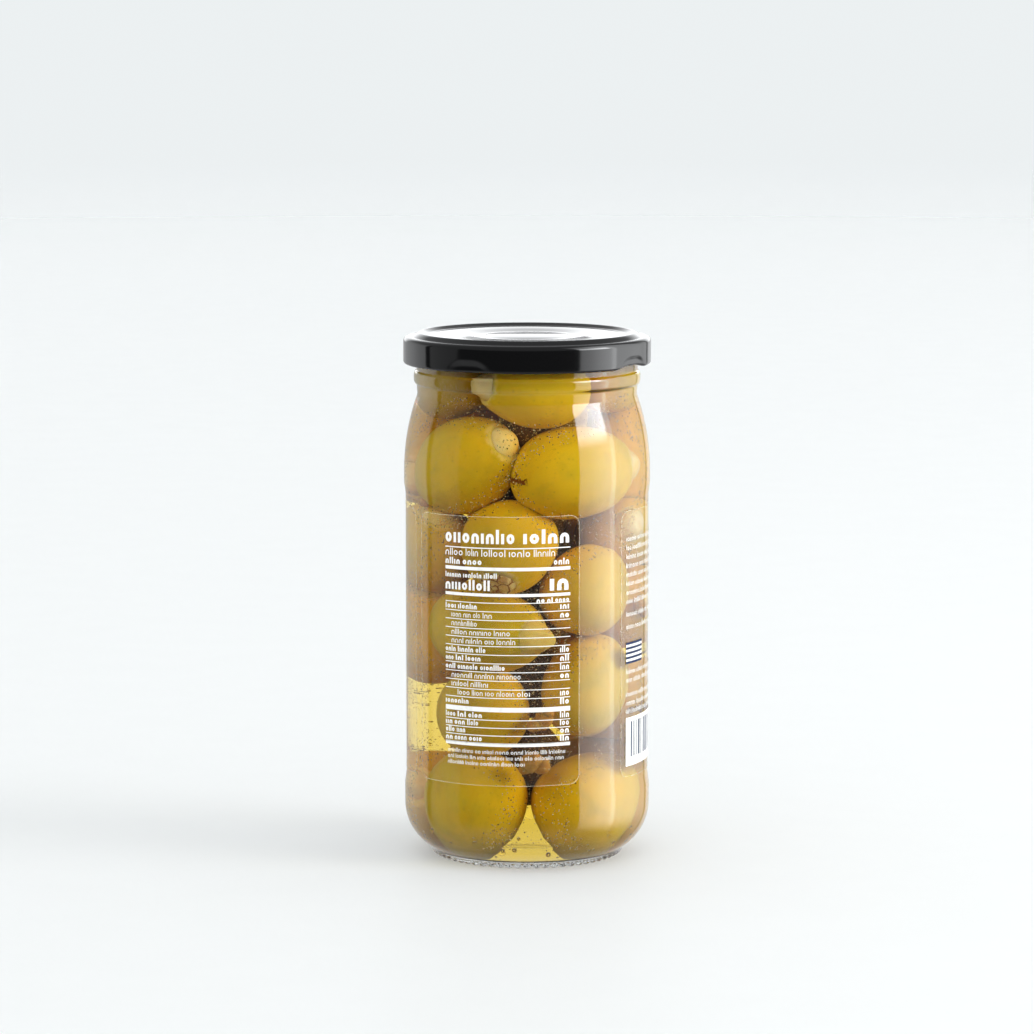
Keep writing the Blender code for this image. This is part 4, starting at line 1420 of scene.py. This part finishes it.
def wrap_print():
    chance = random.Random(21)
    white = bmesh.new()
    navy = bmesh.new()
    for height in (87.2, 84.8, 82.4, 80.0, 77.6, 75.2, 72.8, 70.4, 67.0, 63.6, 51.5, 49.2, 45.4, 43.0, 40.8):
        end = WRAP_TEXT_END * chance.uniform(0.72, 1.0)
        ink_line(white, WRAP, WRAP_TEXT, end, height * MM, 1.0 * MM, False, chance)
    striped_patch(white, navy, WRAP_TEXT, 54.2 * MM, 9.0 * MM, 5.8 * MM)
    barcode(white, navy, WRAP_TEXT, 26.5 * MM, 31.0 * MM, 13.2 * MM, chance)
    back = math.radians(BACK_AT - WRAP.start) * FILM_FACE
    sprig(white, back, 70 * MM)
    for height in (50.0, 36.0):
        ink_block(white, WRAP, back - 15 * MM, height * MM, 30 * MM, 0.6 * MM)
    for height, half in ((43.5, 13), (39.0, 10)):
        ink_line(white, WRAP, back - half * MM, back + half * MM, height * MM, 2.2 * MM, True, chance)
    return mesh_of(white, "print_wrap"), mesh_of(navy, "print_navy")


# %% Ink
def ink_finish(name, colour, bending):
    finish, tree, shader = new_finish(name)
    place = place_of(tree)
    thin = use_group(tree, mottle, Place=place, Size=0.0022, Low=0.45, High=0.8)
    worn = tuple(c * 0.82 for c in colour)
    tree.links.new(blend_colours(tree, thin, colour, worn), shader.inputs["Base Color"])
    normal = use_group(tree, fine_relief, Place=place, Size=0.0006, Depth=0.000004, Extra_Height=0.0)
    tree.links.new(normal, shader.inputs["Normal"])
    set_plain(shader, Roughness=0.38, IOR=bending)
    return finish


white_ink = ink_finish("white_ink", (0.93, 0.93, 0.90), 1.4)
navy_ink = ink_finish("navy_ink", (0.018, 0.032, 0.085), 1.15)
wrap_white, wrap_navy = wrap_print()
for name, mesh, ink, slot in (
    ("print_table", table_print(), white_ink, "white_ink"),
    ("print_wrap", wrap_white, white_ink, "white_ink"),
    ("print_navy", wrap_navy, navy_ink, "navy_ink"),
):
    dress(new_piece(name, mesh), slot, ink)

# %% [markdown]
# ## Floor, light and what the gloss mirrors
# The picture is high key: a white table that runs out of sight, light from everywhere, and more of it from the right.
# The floor is pale and plain. The sky gives the even light, and two large lamps shape it. Gloss is handled apart:
# black lacquer and glass show what stands round the set, so a large round tent that only reflections can see carries
# the tall soft window on the right, the grey card on the left and the dark room in front.

# %% Floor
FLOOR_RADIUS = 5.0
FADE_FROM = 0.7
FADE_TO = 4.2
TABLE_GLOW = 0.27  # the white table is lit from below too


def stage_floor():
    bm = bmesh.new()
    bmesh.ops.create_circle(bm, cap_ends=True, segments=96, radius=FLOOR_RADIUS)
    floor = new_piece("floor", mesh_of(bm, "floor"))
    finish, tree, shader = new_finish("floor_white")
    place = place_of(tree)
    set_plain(shader, Roughness=0.6, IOR=1.3, Emission_Color=(0.98, 1.0, 1.0), Emission_Strength=TABLE_GLOW)
    grain = use_group(tree, mottle, Place=place, Size=0.02, Low=0.3, High=0.7)
    colour = blend_colours(tree, grain, (0.66, 0.665, 0.665), (0.65, 0.655, 0.655))
    tree.links.new(colour, shader.inputs["Base Color"])
    away = add(tree, "ShaderNodeVectorMath", {"operation": "LENGTH"}, _0=place).outputs["Value"]
    tree.links.new(step_between(tree, away, FADE_TO, FADE_FROM), shader.inputs["Alpha"])
    floor.data.materials.append(finish)
    floor.visible_glossy = False
    return floor


stage_floor()

# %% Sky and lamps
SKY = (0.84, 0.875, 0.885)

world = bpy.data.worlds.new("studio")
world.use_nodes = True
set_plain(world.node_tree.nodes["Background"], Color=SKY, Strength=1.0)
world.cycles_visibility.glossy = False
bpy.context.scene.world = world


jar_only = bpy.data.collections.new("jar_only")
for piece in dressed:
    jar_only.objects.link(piece)


def lamp(name, azimuth, elevation, distance, size, power, colour=(1.0, 1.0, 1.0), lights_floor=False):
    """A large soft round lamp. Only matt surfaces see it, and the floor only where it is told to."""
    made = bpy.data.objects.new(name, bpy.data.lights.new(name, "POINT"))
    made.data.shadow_soft_size = size
    made.data.energy = power
    made.data.color = colour
    flat = distance * math.cos(math.radians(elevation))
    made.location = around(azimuth, flat, distance * math.sin(math.radians(elevation)))
    made.visible_camera = False
    made.visible_glossy = False
    made.visible_transmission = False
    bpy.context.scene.collection.objects.link(made)
    if not lights_floor:
        made.light_linking.receiver_collection = jar_only


lamp("window_light", 75, 22, 1.3, 0.3, 30.0, (1.0, 0.985, 0.95), lights_floor=True)
lamp("window_on_olives", 62, 25, 1.3, 0.35, 13.0, (1.0, 0.985, 0.95))
lamp("front_fill", -32, 35, 1.3, 0.4, 18.0)
lamp("top_fill", 180, 60, 1.3, 0.4, 15.0)

# %% Tent for reflections
TENT_RADIUS = 6.0
TONE_SCALE = 15.0

# what stands at each azimuth round the jar, as a brightness
TENT_TONES = (
    (-180, 0.6), (-150, 0.8), (-130, 1.2), (-109, 1.3), (-107.6, 0.06), (-102, 0.06), (-101, 0.55), (-68, 0.45),
    (-65.5, 0.06), (49.2, 0.06), (50.2, 3.0), (60, 3.7), (72, 5.2), (85.0, 6.2), (86.0, 7.8), (90.0, 7.8),
    (91.0, 5.0), (118, 3.0), (135, 1.6), (145, 1.2), (147, 0.4), (150, 0.4), (152, 1.4), (180, 0.6),
)

# the ground near the jar, the ceiling, the card behind the jar, and how much brighter the window's middle is
GROUND_TONE = 0.65
OVERHEAD_TONE = 0.45
BACK_CARD = 1.6
WINDOW_HEART = 2.6


def tent_finish():
    finish, tree, shader = new_finish("tent")
    tree.nodes.remove(shader)
    axes = add(tree, "ShaderNodeSeparateXYZ", Vector=place_of(tree)).outputs
    turn = maths(tree, "ARCTAN2", axes["X"], maths(tree, "MULTIPLY", axes["Y"], -1.0))
    ramp = add(tree, "ShaderNodeValToRGB", Fac=maths(tree, "ADD", maths(tree, "DIVIDE", turn, 2 * math.pi), 0.5))
    stops = ramp.color_ramp.elements
    while len(stops) < len(TENT_TONES):
        stops.new(0.5)
    for stop, (azimuth, tone) in zip(stops, TENT_TONES):
        stop.position = azimuth / 360 + 0.5
        stop.color = (tone / TONE_SCALE, tone / TONE_SCALE, tone / TONE_SCALE, 1.0)
    level = maths(tree, "MULTIPLY", ramp.outputs["Color"], TONE_SCALE)
    rise = maths(tree, "MULTIPLY", maths(tree, "ARCSINE", maths(tree, "DIVIDE", axes["Z"], TENT_RADIUS)), 180 / math.pi)
    card = step_between(tree, level, 1.8, 2.8)
    behind = step_between(tree, maths(tree, "ABSOLUTE", turn), 2.6, 2.8)
    behind = maths(tree, "MULTIPLY", behind, step_between(tree, rise, 1.0, 4.0))
    top = maths(tree, "ADD", 12.0, maths(tree, "MULTIPLY", card, 36.0))
    heart = maths(tree, "MULTIPLY", step_between(tree, rise, 8.0, 16.0), step_between(tree, rise, 36.0, 28.0))
    heart = maths(tree, "MULTIPLY", heart, step_between(tree, turn, 1.50, 1.42))
    heart = maths(tree, "MULTIPLY", maths(tree, "MULTIPLY", heart, card), WINDOW_HEART)
    level = maths(tree, "MULTIPLY", level, maths(tree, "ADD", 1.0, heart))
    level = maths(tree, "ADD", level, maths(tree, "MULTIPLY", behind, BACK_CARD))
    above = maths(tree, "DIVIDE", maths(tree, "SUBTRACT", rise, top), 16.0, clamp=True)
    below = step_between(tree, rise, -9.0, -36.0)
    blend = add(tree, "ShaderNodeMix", Factor=above)
    tree.links.new(level, blend.inputs["A"])
    blend.inputs["B"].default_value = OVERHEAD_TONE
    ground = add(tree, "ShaderNodeMix", Factor=below)
    tree.links.new(blend.outputs[0], ground.inputs["A"])
    ground.inputs["B"].default_value = GROUND_TONE
    glow = add(tree, "ShaderNodeEmission", Color=(0.97, 0.985, 1.0), Strength=ground.outputs[0])
    tree.links.new(glow.outputs[0], tree.nodes["Material Output"].inputs["Surface"])
    finish.cycles.emission_sampling = "NONE"
    return finish


def stage_tent():
    bm = bmesh.new()
    bmesh.ops.create_uvsphere(bm, u_segments=48, v_segments=32, radius=TENT_RADIUS)
    tent = new_piece("tent", mesh_of(bm, "tent"))
    tent.data.materials.append(tent_finish())
    for ray in ("camera", "diffuse", "transmission", "volume_scatter", "shadow"):
        setattr(tent, "visible_" + ray, False)


stage_tent()

# %% [markdown]
# ## Looking through many surfaces
# A ray that crosses the whole jar passes film, glass, brine and droplets twice. The number of bounces is raised so
# that none of those rays ends black, and the picture keeps its plain colours with the Standard view.

# %% Render paths
cycles = bpy.context.scene.cycles
cycles.max_bounces = 20
cycles.transmission_bounces = 20
cycles.transparent_max_bounces = 40
cycles.caustics_reflective = False
bpy.context.scene.view_settings.view_transform = "Standard"
